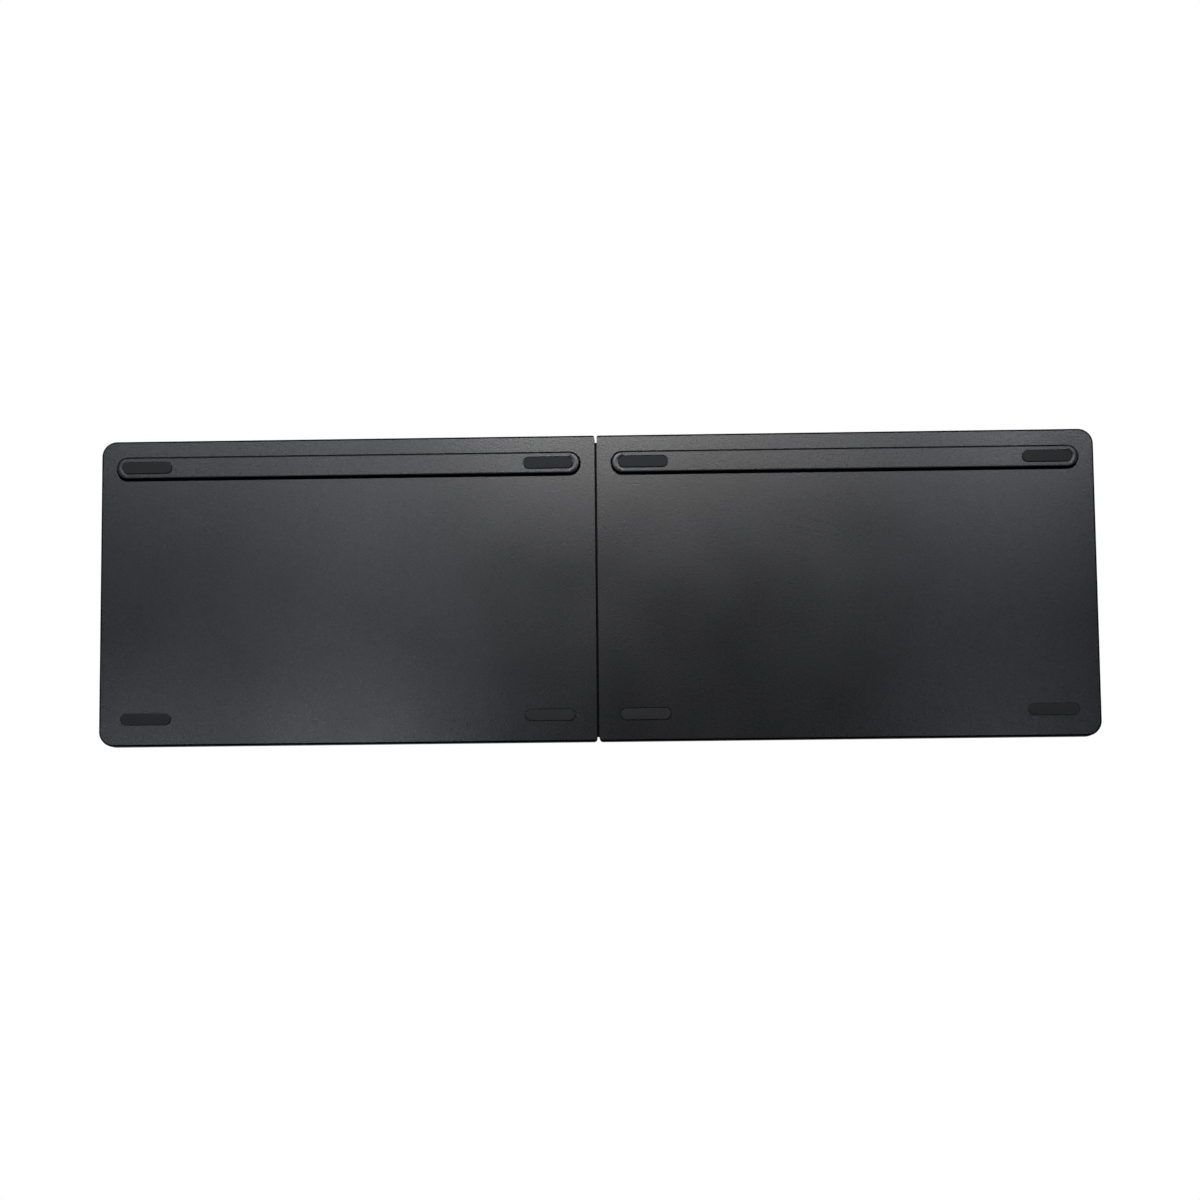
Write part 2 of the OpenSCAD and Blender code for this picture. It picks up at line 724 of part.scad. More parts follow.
// Leaf that lies on the key plate, with webs up to the half's own knuckles
module hinge_leaf(side) {
    notch_w = connector_l + 6 * cable_room;
    color(steel_colour) placed(side) difference() {
        union() {
            translate([web_x, -hinge_l / 2, membrane_z]) cube([leaf_w - web_x, hinge_l, leaf_t]);
            for (k = own_knuckles(side)) translate([0, knuckle_y(k), 0]) {
                translate([web_x, 0, membrane_z]) cube([web_t, knuckle_l, case_h - membrane_z]);
                translate([0, 0, seam_h + lip_gap]) cube([web_end, knuckle_l, case_h - seam_h - lip_gap]);
                translate([axis_x, knuckle_l, axis_z]) rotate([90, 0, 0])
                    cylinder(h = knuckle_l, r = knuckle_r);
            }
        }
        for (k = own_knuckles(side)) translate([axis_x, knuckle_y(k) + knuckle_l + past, axis_z])
            rotate([90, 0, 0]) cylinder(h = knuckle_l + 2 * past, r = knuckle_bore_r(k));
        cable_slot(side, 0);
        translate([web_x - past, knuckle_mid(exit_knuckle(side)) - notch_w / 2, membrane_z - past])
            cube([leaf_w, notch_w, leaf_t + past]);
        at_leaf_screws() {
            translate([0, 0, membrane_z - past])
                cylinder(h = leaf_t + 2 * past, r = screw_r + leaf_screw_fit);
            leaf_screw_head(leaf_screw_fit / 2);
        }
    }
}

// The end knuckles grip the pins, their neighbours run on them, the rest clear the cable
function knuckle_bore_r(k) =
    k == 0 || k == knuckles - 1 ? pin_r :
    k == 1 || k == knuckles - 2 ? pin_r + pin_fit : cable_bore_r;

module leaf_screw_head(grow = 0) {
    head_h = leaf_head_r - screw_r;
    translate([0, 0, membrane_z + leaf_t - head_h])
        cylinder(h = head_h, r1 = screw_r + grow, r2 = leaf_head_r + grow);
}

// Two stub pins, one at each end of the hinge
module hinge_pins() {
    end_inset = 0.4;
    short_of_end = 1;
    pin_l = 2 * knuckle_l + knuckle_gap - end_inset - short_of_end;
    color(steel_colour) placed(RIGHT) for (s = [-1, 1])
        translate([axis_x, s * (hinge_l / 2 - end_inset - pin_l / 2), axis_z])
            rotate([90, 0, 0]) cylinder(h = pin_l, r = pin_r, center = true);
}

// Cable of one half: along the hinge's axis, round a bend and down into its connector
module hinge_cable(side) {
    run = abs(knuckle_mid(exit_knuckle(side)) - meeting_y) - cable_bend_r;
    color(rubber_colour) placed(side)
        translate([0, knuckle_mid(exit_knuckle(side)), 0]) mirror([0, side == LEFT ? 1 : 0, 0]) {
            translate([axis_x, 0, axis_z]) rotate([0, cable_dive, 0]) {
                translate([0, -cable_bend_r, 0]) rotate([90, 0, 0]) cylinder(h = run, r = cable_r);
                translate([cable_bend_r, -cable_bend_r, 0]) rotate([0, 0, 90])
                    rotate_extrude(angle = 90) translate([cable_bend_r, 0]) circle(cable_r);
                translate([cable_bend_r, 0, 0]) rotate([0, 90, 0])
                    cylinder(h = connector_reach() - cable_bend_r, r = cable_r);
            }
            translate([connector_x, -connector_l / 2, membrane_z])
                cube([connector_w, connector_l, connector_h]);
        }
}

// ---- key mechanism ----

// Extent of the steel key plate
module plate_plan() {
    difference() {
        intersection() {
            half_plan(wall_t + plate_room);
            translate([0, front_y]) square([half_w, sheet_back - front_y]);
        }
        at_leaf_screws() circle(screw_r + leaf_screw_fit);
    }
}

// Tabs that hold a scissor's feet, one at each end; grow makes their slots in the membrane
module scissor_tabs(h, grow = 0) {
    tab_w = 2.4;
    for (s = [-1, 1]) translate([s * (scissor_l / 2 + scissor_room + plate_t / 2), 0, h / 2])
        cube([plate_t + 2 * grow, tab_w + 2 * grow, h], center = true);
}

// Steel flags in the left half that the right half's magnets pull on
module striker_flags() {
    room = 0.15;
    height = seam_h + magnet_h - room - plate_z;
    for (y = magnet_ys) translate([magnet_x + room, y - magnet_l / 2 + room, plate_z]) {
        cube([plate_t, magnet_l - 2 * room, height]);
        translate([0, 0, height - plate_t]) cube([magnet_w - 2 * room, magnet_l - 2 * room, plate_t]);
    }
}

module key_plate(side) {
    color(steel_colour) placed(side) union() {
        translate([0, 0, plate_z]) linear_extrude(plate_t) plate_plan();
        at_scissors(side) translate([0, 0, membrane_z - sink]) scissor_tabs(tab_h + sink);
        if (side == LEFT) striker_flags();
    }
}

module membrane(side) {
    x0 = leaf_w + sheet_margin;
    x1 = half_w - side_margin + sheet_margin;
    y0 = block_front_y - sheet_margin;
    hinge_tail_w = 4;
    hinge_tail_x = connector_x + connector_w;
    exit_y = knuckle_mid(exit_knuckle(side));
    color(film_colour) placed(side) difference() {
        translate([0, 0, membrane_z]) linear_extrude(membrane_t) {
            translate([x0, y0]) square([x1 - x0, sheet_back - y0]);
            translate([hinge_tail_x, exit_y - hinge_tail_w / 2])
                square([x0 + sink - hinge_tail_x, hinge_tail_w]);
            if (side == RIGHT) translate([board_x + tail_x, strip_y])
                square([tail_w, board_front + tail_overlap - strip_y]);
        }
        at_scissors(side) translate([0, 0, membrane_z - past]) scissor_tabs(3 * past, scissor_room);
    }
}

// Hollow rubber dome: foot ring, thin cone and plunger
module dome() {
    h = cap_ceiling - membrane_top;
    plunger_r = dome_r / 2;
    plunger_h = 0.4;
    ring_h = 0.25;
    skirt_r = dome_r - 0.35;
    crown = h - plunger_h - dome_t;
    rotate_extrude() polygon([
        [dome_r, 0], [dome_r, ring_h], [skirt_r, ring_h], [plunger_r, h - plunger_h], [plunger_r, h],
        [0, h], [0, crown], [plunger_r - dome_t, crown], [skirt_r - dome_t, 0]]);
}

module domes(side) {
    color(rubber_colour) placed(side) at_keys(side) translate([0, 0, membrane_top]) dome();
}

// One flat frame of a scissor, centred
module scissor_ring(w) {
    difference() {
        cube([scissor_l, w, scissor_t], center = true);
        cube([scissor_l - 2 * scissor_bar, w - 2 * scissor_bar, 2 * scissor_t], center = true);
    }
}

// Two frames crossed on a pair of stubs, resting on the membrane and touching the keycap
module scissor() {
    h = cap_ceiling - membrane_top;
    tilt = asin((h - scissor_t) / scissor_l);
    inner_w = scissor_w - 2 * scissor_bar - 2 * scissor_gap;
    stub_l = scissor_gap + 0.8 * scissor_bar;
    translate([0, 0, h / 2]) {
        rotate([0, tilt, 0]) difference() {
            scissor_ring(scissor_w);
            rotate([90, 0, 0]) cylinder(h = 2 * scissor_w, r = pivot_r + pivot_fit, center = true);
        }
        rotate([0, -tilt, 0]) {
            scissor_ring(inner_w);
            for (s = [-1, 1]) translate([0, s * (inner_w / 2 + stub_l / 2 - sink), 0])
                rotate([90, 0, 0]) cylinder(h = stub_l, r = pivot_r, center = true);
        }
    }
}

module scissors(side) {
    color(scissor_colour) placed(side) at_scissors(side) translate([0, 0, membrane_top]) scissor();
}

// Lugs under a keycap that hold the upper ends of a scissor
module cap_lugs() {
    lug = [0.5, 1, 0.7];
    for (x = [-1, 1] * (scissor_l / 2 + scissor_room + lug[0] / 2), y = [-1, 1] * (scissor_w - lug[1]) / 2)
        translate([x, y, cap_ceiling - lug[2] / 2 + sink / 2])
            cube(lug + [0, 0, sink], center = true);
}

// Hollow keycap for a cell of the given width
module keycap(cell_w) {
    w = cell_w - key_gap;
    d = row_pitch - key_gap;
    side = [[0, 0], [cap_lean, cap_h - cap_edge], [cap_lean + cap_edge, cap_h]];
    translate([0, 0, cap_z]) difference() {
        softened_block(w, d, cap_r, side);
        translate([-w / 2 + cap_wall, -d / 2 + cap_wall, -past])
            cube([w - 2 * cap_wall, d - 2 * cap_wall, past + cap_h - cap_skin]);
    }
    if (cell_w > 2.4 * key_unit)
        for (x = [-1, 1] * wide_scissor_pitch / 2) translate([x, 0, 0]) cap_lugs();
    else
        cap_lugs();
}

// Raised bar that the forefinger finds on F and J
module homing_bar() {
    bar = [3, 0.5, 0.15];
    from_cell_edge = 3.4;
    translate([0, from_cell_edge - row_pitch / 2, cap_z + cap_h + bar[2] / 2 - sink / 2])
        cube(bar + [0, 0, sink], center = true);
}

// Every keycap of one half that carries the node's name
module keycaps(side, name) {
    color(keycap_colour) placed(side) at_keys(side, name) {
        keycap($cell_w);
        if (name == "key_f" || name == "key_j") homing_bar();
    }
}

// ---- feet and fasteners ----

// Rubber feet, trimmed level with the desk
module feet(side) {
    color(rubber_colour) intersection() {
        placed(side) for (x = foot_xs) {
            translate([x, front_foot_y, -front_foot_out - foot_trim])
                linear_extrude(front_foot_out + foot_trim + foot_pocket) stadium(foot_l, foot_w);
            translate([x, rail_y, -rear_drop - foot_trim])
                linear_extrude(rear_foot_out + foot_trim + foot_pocket) stadium(foot_l, foot_w);
        }
        translate([-half_w - fold_gap, -half_d, 0]) cube([2 * (half_w + fold_gap), 2 * half_d, case_h]);
    }
}

// Screws of one half: two under the rear feet, four through the hinge leaf
module screws(side) {
    head_z = -rail_h + foot_pocket;
    tip_z = floor_t + boss_bite - 2 * screw_room;
    color(steel_colour) placed(side) {
        for (x = foot_xs) translate([x, rail_y, head_z]) difference() {
            union() {
                cylinder(h = screw_head_h, r = screw_head_r);
                cylinder(h = tip_z - head_z, r = screw_r);
            }
            cross_recess(screw_head_r);
        }
        at_leaf_screws() translate([0, 0, membrane_z + leaf_t]) difference() {
            union() {
                translate([0, 0, -membrane_z - leaf_t]) leaf_screw_head();
                translate([0, 0, -leaf_screw_l]) cylinder(h = leaf_screw_l - sink, r = screw_r);
            }
            cross_recess(leaf_head_r);
        }
    }
}

// Cross recess in a screw head of radius r, open on both sides of z = 0
module cross_recess(r) {
    blade_t = 0.35;
    depth = 0.3;
    for (turn = [0, 90]) rotate([0, 0, turn]) cube([1.25 * r, blade_t, 2 * depth], center = true);
}

module magnets() {
    color(steel_colour) placed(RIGHT) for (y = magnet_ys)
        translate([magnet_x + magnet_fit, y - magnet_l / 2 + magnet_fit, seam_h])
            cube([magnet_w, magnet_l, magnet_h + magnet_fit]);
}

// ---- electronics ----

module battery() {
    room = 0.3;
    lead_r = 0.3;
    lead_pitch = 1.6;
    lead_on_board = 2;
    lead_l = board_x - battery_x - battery_l + lead_on_board;
    color("silver") placed(RIGHT) translate([battery_x, strip_front + room, floor_t]) {
        translate([0, battery_h / 2, 0]) cube([battery_l, battery_w - battery_h, battery_h]);
        for (y = [battery_h / 2, battery_w - battery_h / 2]) translate([0, y, battery_h / 2])
            rotate([0, 90, 0]) cylinder(h = battery_l, r = battery_h / 2);
        for (s = [-1, 1])
            translate([battery_l - sink, (battery_w + s * lead_pitch) / 2, board_z + board_t + lead_r - floor_t])
                rotate([0, 90, 0]) cylinder(h = lead_l + sink, r = lead_r);
    }
}

// Block of the given size, centred over [x, y] on the board
module on_board(x, y, size) {
    translate([x - size[0] / 2, y - size[1] / 2, board_z + board_t - sink]) cube(size + [0, 0, sink]);
}

// Board with its controller, radio, small parts, lights and the switch's housing
module controller_board() {
    depth = board_back - board_front;
    board_slack = 0.15;
    light = [1.2, 1.2, 0.5];
    resistor = [0.6, 1.1, 0.4];
    resistor_pitch = 1.2;
    resistors = 3;
    chip_gap = 0.3;
    controller_chip = [5, 4, 0.8];
    radio_chip = [3, 2.6, 0.7];
    controller_x = light_inset + light_pitch + light[0] / 2 + chip_gap + controller_chip[0] / 2;
    radio_x = controller_x + (controller_chip[0] + radio_chip[0]) / 2 + chip_gap;
    switch = [switch_w, 2.6, switch_h];
    color(board_colour) placed(RIGHT) translate([board_x, board_front, 0]) {
        difference() {
            translate([0, 0, board_z]) cube([board_l, depth, board_t]);
            translate([port_x - board_x - port_w / 2, port_front - board_front, board_z - past])
                translate([-board_slack, -board_slack])
                    cube([port_w + 2 * board_slack, strip_d, board_t + 2 * past]);
        }
        on_board(controller_x, depth / 2, controller_chip);
        on_board(radio_x, depth / 2 + resistor[1] / 2, radio_chip);
        for (i = [0 : resistors - 1]) on_board(radio_x + (i - 1) * resistor_pitch, resistor[1], resistor);
        for (x = light_xs) on_board(x - board_x, light_y - board_front, light);
        difference() {
            on_board(switch_x - board_x, depth - switch[1] / 2, switch);
            translate([switch_x - board_x, depth, switch_z])
                cube([switch_travel + knob_w + 2 * knob_fit, 2 * knob_bite + 2 * knob_room,
                      knob_h + 2 * knob_fit], center = true);
        }
    }
}

// Charging port: drawn steel shell with its tongue, on two wings over the board
module charging_port() {
    tongue_w = 6.69;
    tongue_t = 0.7;
    tongue_inset = 0.9;
    back_t = 0.8;
    wing = [1.4, 1.6, 0.4];
    color(steel_colour) placed(RIGHT) translate([port_x, port_back, 0]) {
        translate([0, 0, port_z]) rotate([90, 0, 0]) {
            difference() {
                linear_extrude(port_d) stadium(port_w, port_h);
                translate([0, 0, -past]) linear_extrude(port_d - back_t + past)
                    stadium(port_w - 2 * port_t, port_h - 2 * port_t);
            }
            translate([-tongue_w / 2, -tongue_t / 2, tongue_inset])
                cube([tongue_w, tongue_t, port_d - tongue_inset - sink]);
        }
        for (x = [-1, 1] * (port_w + wing[0] - port_t) / 2)
            translate([x, -port_d + 2 * wing[1], board_z + board_t + wing[2] / 2]) cube(wing, center = true);
    }
}

// Slide of the power switch, at its off end
module power_switch_knob() {
    length = rear_y - knob_recess - board_back + knob_bite;
    grips = 3;
    grip_t = 0.2;
    color(keycap_colour) placed(RIGHT)
        translate([switch_x - (switch_travel + knob_w) / 2, rear_y - knob_recess - length,
                   switch_z - knob_h / 2]) {
            cube([knob_w, length, knob_h]);
            for (i = [1 : grips]) translate([i * knob_w / (grips + 1) - grip_t / 2, length - sink, 0])
                cube([grip_t, knob_recess, knob_h]);
        }
}

// Light pipe: a bar under the top skin with a stud through it for each light
module indicator_lens() {
    bar_h = 0.6;
    bar_w = 2;
    bar_l = 2 * light_pitch + 1.2 * bar_w;
    color("white", 0.6) placed(RIGHT) {
        translate([light_x - bar_l / 2, light_y - bar_w / 2, strip_ceiling - bar_h])
            cube([bar_l, bar_w, bar_h]);
        for (x = light_xs) translate([x, light_y, strip_ceiling - sink])
            cylinder(h = top_t + sink, r = light_r);
    }
}

bottom_cover(LEFT);  // left_bottom_cover
bottom_cover(RIGHT);  // right_bottom_cover
top_frame(LEFT);  // left_top_frame
top_frame(RIGHT);  // right_top_frame
key_plate(LEFT);  // left_key_plate
key_plate(RIGHT);  // right_key_plate
membrane(LEFT);  // left_membrane
membrane(RIGHT);  // right_membrane
domes(LEFT);  // left_domes
domes(RIGHT);  // right_domes
scissors(LEFT);  // left_scissors
scissors(RIGHT);  // right_scissors
hinge_leaf(LEFT);  // left_hinge_leaf
hinge_leaf(RIGHT);  // right_hinge_leaf
hinge_pins();
hinge_cable(LEFT);  // left_hinge_cable
hinge_cable(RIGHT);  // right_hinge_cable
feet(LEFT);  // left_feet
feet(RIGHT);  // right_feet
screws(LEFT);  // left_screws
screws(RIGHT);  // right_screws
magnets();
battery();
controller_board();
charging_port();
power_switch_knob();
indicator_lens();
for (name = left_keys) keycaps(LEFT, name);
for (name = right_keys) keycaps(RIGHT, name);
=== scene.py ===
# Folding keyboard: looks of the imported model, in its own frame (metres, keys up, rear at +Y)
import json
import math

import bmesh
import bpy
from mathutils import Matrix, Vector


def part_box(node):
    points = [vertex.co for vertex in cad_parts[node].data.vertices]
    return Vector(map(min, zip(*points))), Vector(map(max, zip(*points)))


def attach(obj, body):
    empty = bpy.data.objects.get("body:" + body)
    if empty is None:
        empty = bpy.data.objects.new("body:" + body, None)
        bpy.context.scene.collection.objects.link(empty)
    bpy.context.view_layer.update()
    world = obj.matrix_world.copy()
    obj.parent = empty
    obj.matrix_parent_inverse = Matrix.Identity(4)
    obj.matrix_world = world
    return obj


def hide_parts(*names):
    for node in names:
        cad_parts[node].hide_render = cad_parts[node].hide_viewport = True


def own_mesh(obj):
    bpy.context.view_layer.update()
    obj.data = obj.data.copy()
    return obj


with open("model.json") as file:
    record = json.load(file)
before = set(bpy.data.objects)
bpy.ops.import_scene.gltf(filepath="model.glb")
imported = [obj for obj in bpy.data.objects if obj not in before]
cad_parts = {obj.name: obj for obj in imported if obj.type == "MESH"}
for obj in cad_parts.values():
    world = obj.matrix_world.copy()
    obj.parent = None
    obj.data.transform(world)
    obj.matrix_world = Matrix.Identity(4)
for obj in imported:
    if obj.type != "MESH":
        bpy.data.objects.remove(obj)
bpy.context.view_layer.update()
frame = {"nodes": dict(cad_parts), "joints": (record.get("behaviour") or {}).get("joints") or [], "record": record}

# ---- camera ----
# It looks up at the underside from the front, from three quarters of a metre away. Its place is measured
# from the seat of the open keyboard, which leans forwards on its feet by the slope of the hinge's axis:
# x runs right, y to the rear, z up from the covers' outer face.
MM = 0.001
AXIS_HEIGHT = 5.5
FOCAL_PIXELS, IMAGE_PIXELS, SENSOR = 2587.1, 1200, 36.0
TURNS = (("X", -6.54), ("Y", 1.28), ("Z", -0.72))
DISTANCE = Vector((-0.92, -3.71, 752.1)) * MM
NEAREST = 0.01
hinge = next(j for j in frame["joints"] if j["name"] == "fold_hinge")
slope = math.atan2(hinge["axis"][2], hinge["axis"][1])
seat = (
    Matrix.Translation(Vector(hinge["pos_m"]))
    @ Matrix.Rotation(slope, 4, "X")
    @ Matrix.Translation((0, 0, -AXIS_HEIGHT * MM))
)
view_turn = Matrix.Diagonal((-1, -1, 1, 1))
for axis_name, degrees in TURNS:
    view_turn = Matrix.Rotation(math.radians(degrees), 4, axis_name) @ view_turn
lens = bpy.data.cameras.new("camera")
lens.sensor_width = SENSOR
lens.lens = SENSOR * FOCAL_PIXELS / IMAGE_PIXELS
lens.clip_start = NEAREST
camera = bpy.data.objects.new("camera", lens)
bpy.context.scene.collection.objects.link(camera)
stand = (Matrix.Translation(DISTANCE) @ view_turn).inverted()
camera.matrix_world = seat @ stand @ Matrix.Diagonal((1, -1, -1, 1))
bpy.context.scene.camera = camera
bpy.context.scene.view_settings.view_transform = "Standard"


# ---- floor, cards and sky ----
# A pale paper floor that fades to white. Only a camera above it sees it, so the underside can be looked at
# and lit from below. The plastic mirrors two dark cards, one far below and one over the keys, and the sky
# is white to the camera and in mirrors.
def shader_nodes(name):
    material = bpy.data.materials.new(name)
    material.use_nodes = True
    tree = material.node_tree
    tree.nodes.clear()
    output = tree.nodes.new("ShaderNodeOutputMaterial")
    return material, tree, output


def maths(tree, operation, first, second=None):
    node = tree.nodes.new("ShaderNodeMath")
    node.operation = operation
    for socket, value in zip(node.inputs, (first, second)):
        if value is None:
            continue
        if isinstance(value, (int, float)):
            socket.default_value = value
        else:
            tree.links.new(value, socket)
    return node.outputs[0]


def flat_sheet(name, sides, height, material):
    mesh = bpy.data.meshes.new(name)
    x, y = sides[0] / 2, sides[1] / 2
    corners = [(-x, -y), (x, -y), (x, y), (-x, y)]
    mesh.from_pydata([(x, y, height) for x, y in corners], [], [(0, 1, 2, 3)])
    mesh.materials.append(material)
    made = bpy.data.objects.new(name, mesh)
    bpy.context.scene.collection.objects.link(made)
    return made


WHITE = (1, 1, 1, 1)
FLOOR_COLOUR = (0.86, 0.86, 0.87, 1)
FLOOR_SIDE, FLOOR_DROP = 16.0, 0.05 * MM
FADE_START, FADE_END = 0.3, 1.3
floor_material, tree, output = shader_nodes("floor_paper")
paths = tree.nodes.new("ShaderNodeLightPath")
side = tree.nodes.new("ShaderNodeNewGeometry")
above = maths(tree, "SUBTRACT", 1, side.outputs["Backfacing"])
seen = maths(tree, "MULTIPLY", paths.outputs["Is Camera Ray"], above)
paper = tree.nodes.new("ShaderNodeBsdfDiffuse")
paper.inputs["Color"].default_value = FLOOR_COLOUR
white = tree.nodes.new("ShaderNodeEmission")
white.inputs["Color"].default_value = WHITE
distance = tree.nodes.new("ShaderNodeVectorMath")
distance.operation = "LENGTH"
tree.links.new(tree.nodes.new("ShaderNodeTexCoord").outputs["Object"], distance.inputs[0])
fade = tree.nodes.new("ShaderNodeMapRange")
fade.interpolation_type = "SMOOTHSTEP"
fade.inputs["From Min"].default_value = FADE_START
fade.inputs["From Max"].default_value = FADE_END
tree.links.new(distance.outputs["Value"], fade.inputs["Value"])
sweep = tree.nodes.new("ShaderNodeMixShader")
tree.links.new(fade.outputs[0], sweep.inputs[0])
tree.links.new(paper.outputs[0], sweep.inputs[1])
tree.links.new(white.outputs[0], sweep.inputs[2])
clear = tree.nodes.new("ShaderNodeBsdfTransparent")
choice = tree.nodes.new("ShaderNodeMixShader")
tree.links.new(seen, choice.inputs[0])
tree.links.new(clear.outputs[0], choice.inputs[1])
tree.links.new(sweep.outputs[0], choice.inputs[2])
tree.links.new(choice.outputs[0], output.inputs["Surface"])
flat_sheet("floor", (FLOOR_SIDE, FLOOR_SIDE), -FLOOR_DROP, floor_material)

CARD_COLOUR = (0.02, 0.02, 0.021, 1)
CARDS = {"low_card": ((5.0, 5.0), -1.1), "high_card": ((0.7, 0.4), 0.3)}
card_material, tree, output = shader_nodes("card_paint")
dark = tree.nodes.new("ShaderNodeBsdfDiffuse")
dark.inputs["Color"].default_value = CARD_COLOUR
tree.links.new(dark.outputs[0], output.inputs["Surface"])
for name, (sides, height) in CARDS.items():
    card = flat_sheet(name, sides, height, card_material)
    card.visible_camera = False
    if height > 0:
        card.visible_diffuse = False
        card.visible_shadow = False

AMBIENT = 0.55
world = bpy.data.worlds.new("studio")
bpy.context.scene.world = world
world.use_nodes = True
tree = world.node_tree
tree.nodes.clear()
paths = tree.nodes.new("ShaderNodeLightPath")
shown = maths(tree, "MAXIMUM", paths.outputs["Is Camera Ray"], paths.outputs["Is Glossy Ray"])
shown = maths(tree, "MAXIMUM", shown, paths.outputs["Is Transmission Ray"])
strength = maths(tree, "ADD", maths(tree, "MULTIPLY", shown, 1 - AMBIENT), AMBIENT)
sky = tree.nodes.new("ShaderNodeBackground")
sky.inputs["Color"].default_value = WHITE
tree.links.new(strength, sky.inputs["Strength"])
output = tree.nodes.new("ShaderNodeOutputWorld")
tree.links.new(sky.outputs[0], output.inputs["Surface"])


# ---- softboxes ----
# Three rows of small ones stand under the keyboard and light its covers; a row is its place in y and its
# lamps as (x, radiance). Two large ones stand over the keys. Places and sides are in metres, measured from
# the open keyboard's middle.
def softbox(name, place, side, radiance, colour):
    light = bpy.data.lights.new(name, "AREA")
    light.color = colour
    light.shape = "SQUARE"
    light.size = side
    light.energy = radiance * math.pi * side * side
    made = bpy.data.objects.new(name, light)
    bpy.context.scene.collection.objects.link(made)
    spot = seat @ Vector(place)
    made.matrix_world = Matrix.Translation(spot) @ (-spot).to_track_quat("-Z", "Y").to_matrix().to_4x4()
    made.visible_camera = False


NEUTRAL, COOL = (1.0, 1.0, 1.0), (0.94, 0.97, 1.08)
UNDER_HEIGHT, UNDER_SIDE, BESIDE_HINGE = -0.5, 0.05, 0.1
ROWS = {
    "rear": (0.173, ((0.244, 8.4), (0.185, 7.6), (0.127, 7.1), (0.077, 4.5), (0.03, 30.0),
                     (-0.024, 14.4), (-0.09, 17.4), (-0.157, 4.3), (-0.208, 20.0))),
    "middle": (0.092, ((0.244, 1.5), (0.127, 4.1), (-0.184, 2.5))),
    "front": (-0.03, ((0.244, 6.3), (0.185, 1.6), (0.127, 10.1), (-0.184, 4.0))),
}
for row_name, (row_y, lamps) in ROWS.items():
    for x, radiance in lamps:
        warmth = NEUTRAL if row_name == "rear" and abs(x) < BESIDE_HINGE else COOL
        softbox(f"under_{row_name}", (x, row_y, UNDER_HEIGHT), UNDER_SIDE, radiance, warmth)
softbox("key", place=(-0.45, 0.35, 0.8), side=0.55, radiance=4.0, colour=NEUTRAL)
softbox("fill", place=(0.6, -0.5, 0.6), side=0.6, radiance=1.2, colour=NEUTRAL)


# ---- bottom covers ----
# Moulded charcoal plastic with a fine spark texture, one moulding each with its rail and foot pockets. The
# outer edges are slightly broken. The side walls are duller and painted darker as painted shade, and the soft
# lower edge, the groove round the rail and the rail's sides are painted near black as painted shade, the groove
# widened in front of the rail as the rail's painted shadow. Screws under the rear feet and hooks in front hold
# each cover.
from_mm = seat @ Matrix.Scale(MM, 4)
to_mm = from_mm.inverted()
# Points nearer than this (mm) are one, and so are faces that turn less than this (degrees)
SAME_POINT, SAME_PLANE = 0.002, 0.4


def merged_copy(node, name):
    mesh = frame["nodes"][node].data.copy()
    mesh.name = name
    for layer in ("custom_normal", "sharp_face", "sharp_edge"):
        if layer in mesh.attributes:
            mesh.attributes.remove(mesh.attributes[layer])
    form = bmesh.new()
    form.from_mesh(mesh)
    bmesh.ops.remove_doubles(form, verts=form.verts, dist=SAME_POINT * MM)
    bmesh.ops.dissolve_limit(form, angle_limit=math.radians(SAME_PLANE), verts=form.verts, edges=form.edges)
    return form, mesh


# Degrees between two faces: an edge that is softened, one that is square, and one that is shaded sharp
SOFTENED, SQUARE, SHADED_SHARP = 35, 60, 32
# Millimetres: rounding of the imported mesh, how near a point lies to a level or a radius that it is on, and
# the shortest edge that is softened
ROUNDING, ON_IT, SHORTEST_EDGE = 0.01, 0.03, 0.05


def outward_edges(form, least_angle):
    limit = math.radians(least_angle)
    return [e for e in form.edges if len(e.link_faces) == 2 and e.calc_face_angle_signed(0) > limit]


def bevel(form, edges, width, segments, profile=0.0):
    bmesh.ops.bevel(
        form, geom=edges, offset=width * MM, offset_type="OFFSET", segments=segments, profile=profile,
        affect="EDGES", clamp_overlap=True,
    )


def break_edges(form, levels, width, least_angle=SOFTENED):
    picked = []
    for edge in outward_edges(form, least_angle):
        heights = [(to_mm @ v.co).z for v in edge.verts]
        on_level = all(min(abs(h - level) for level in levels) < ON_IT for h in heights)
        if on_level and edge.calc_length() >= SHORTEST_EDGE * MM:
            picked.append(edge)
    bevel(form, picked, width, segments=2, profile=0.6)


def plain_mesh(piece):
    graph = bpy.context.evaluated_depsgraph_get()
    mesh = bpy.data.meshes.new_from_object(piece.evaluated_get(graph), depsgraph=graph)
    piece.modifiers.clear()
    return mesh


# Flat faces keep their own normal where they meet a narrow broken edge.
FACE_WEIGHTS, STRONG, WEAK = "__mod_weightednormals_faceweight", 16384, -16384
FLAT, NORMAL_WEIGHT = 0.9999, 100


def finish_piece(form, mesh, body, materials, node=None, sharp=SHADED_SHARP):
    bmesh.ops.triangulate(form, faces=[f for f in form.faces if len(f.verts) > 4])
    form.normal_update()
    weights = form.faces.layers.int.new(FACE_WEIGHTS)
    for face in form.faces:
        flat = max(abs(part) for part in (to_mm.to_3x3() @ face.normal).normalized()) > FLAT
        face[weights] = STRONG if flat else WEAK
    mesh.materials.clear()
    for material in materials:
        mesh.materials.append(material)
    form.to_mesh(mesh)
    form.free()
    mesh.shade_smooth()
    mesh.set_sharp_from_angle(angle=math.radians(sharp))
    piece = bpy.data.objects.new(mesh.name, mesh)
    bpy.context.scene.collection.objects.link(piece)
    level = piece.modifiers.new("level_faces", "WEIGHTED_NORMAL")
    level.keep_sharp = True
    level.weight = NORMAL_WEIGHT
    level.use_face_influence = True
    piece.data = plain_mesh(piece)
    piece.data.attributes.remove(piece.data.attributes[FACE_WEIGHTS])
    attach(piece, body)
    if node:
        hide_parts(node)
    return piece


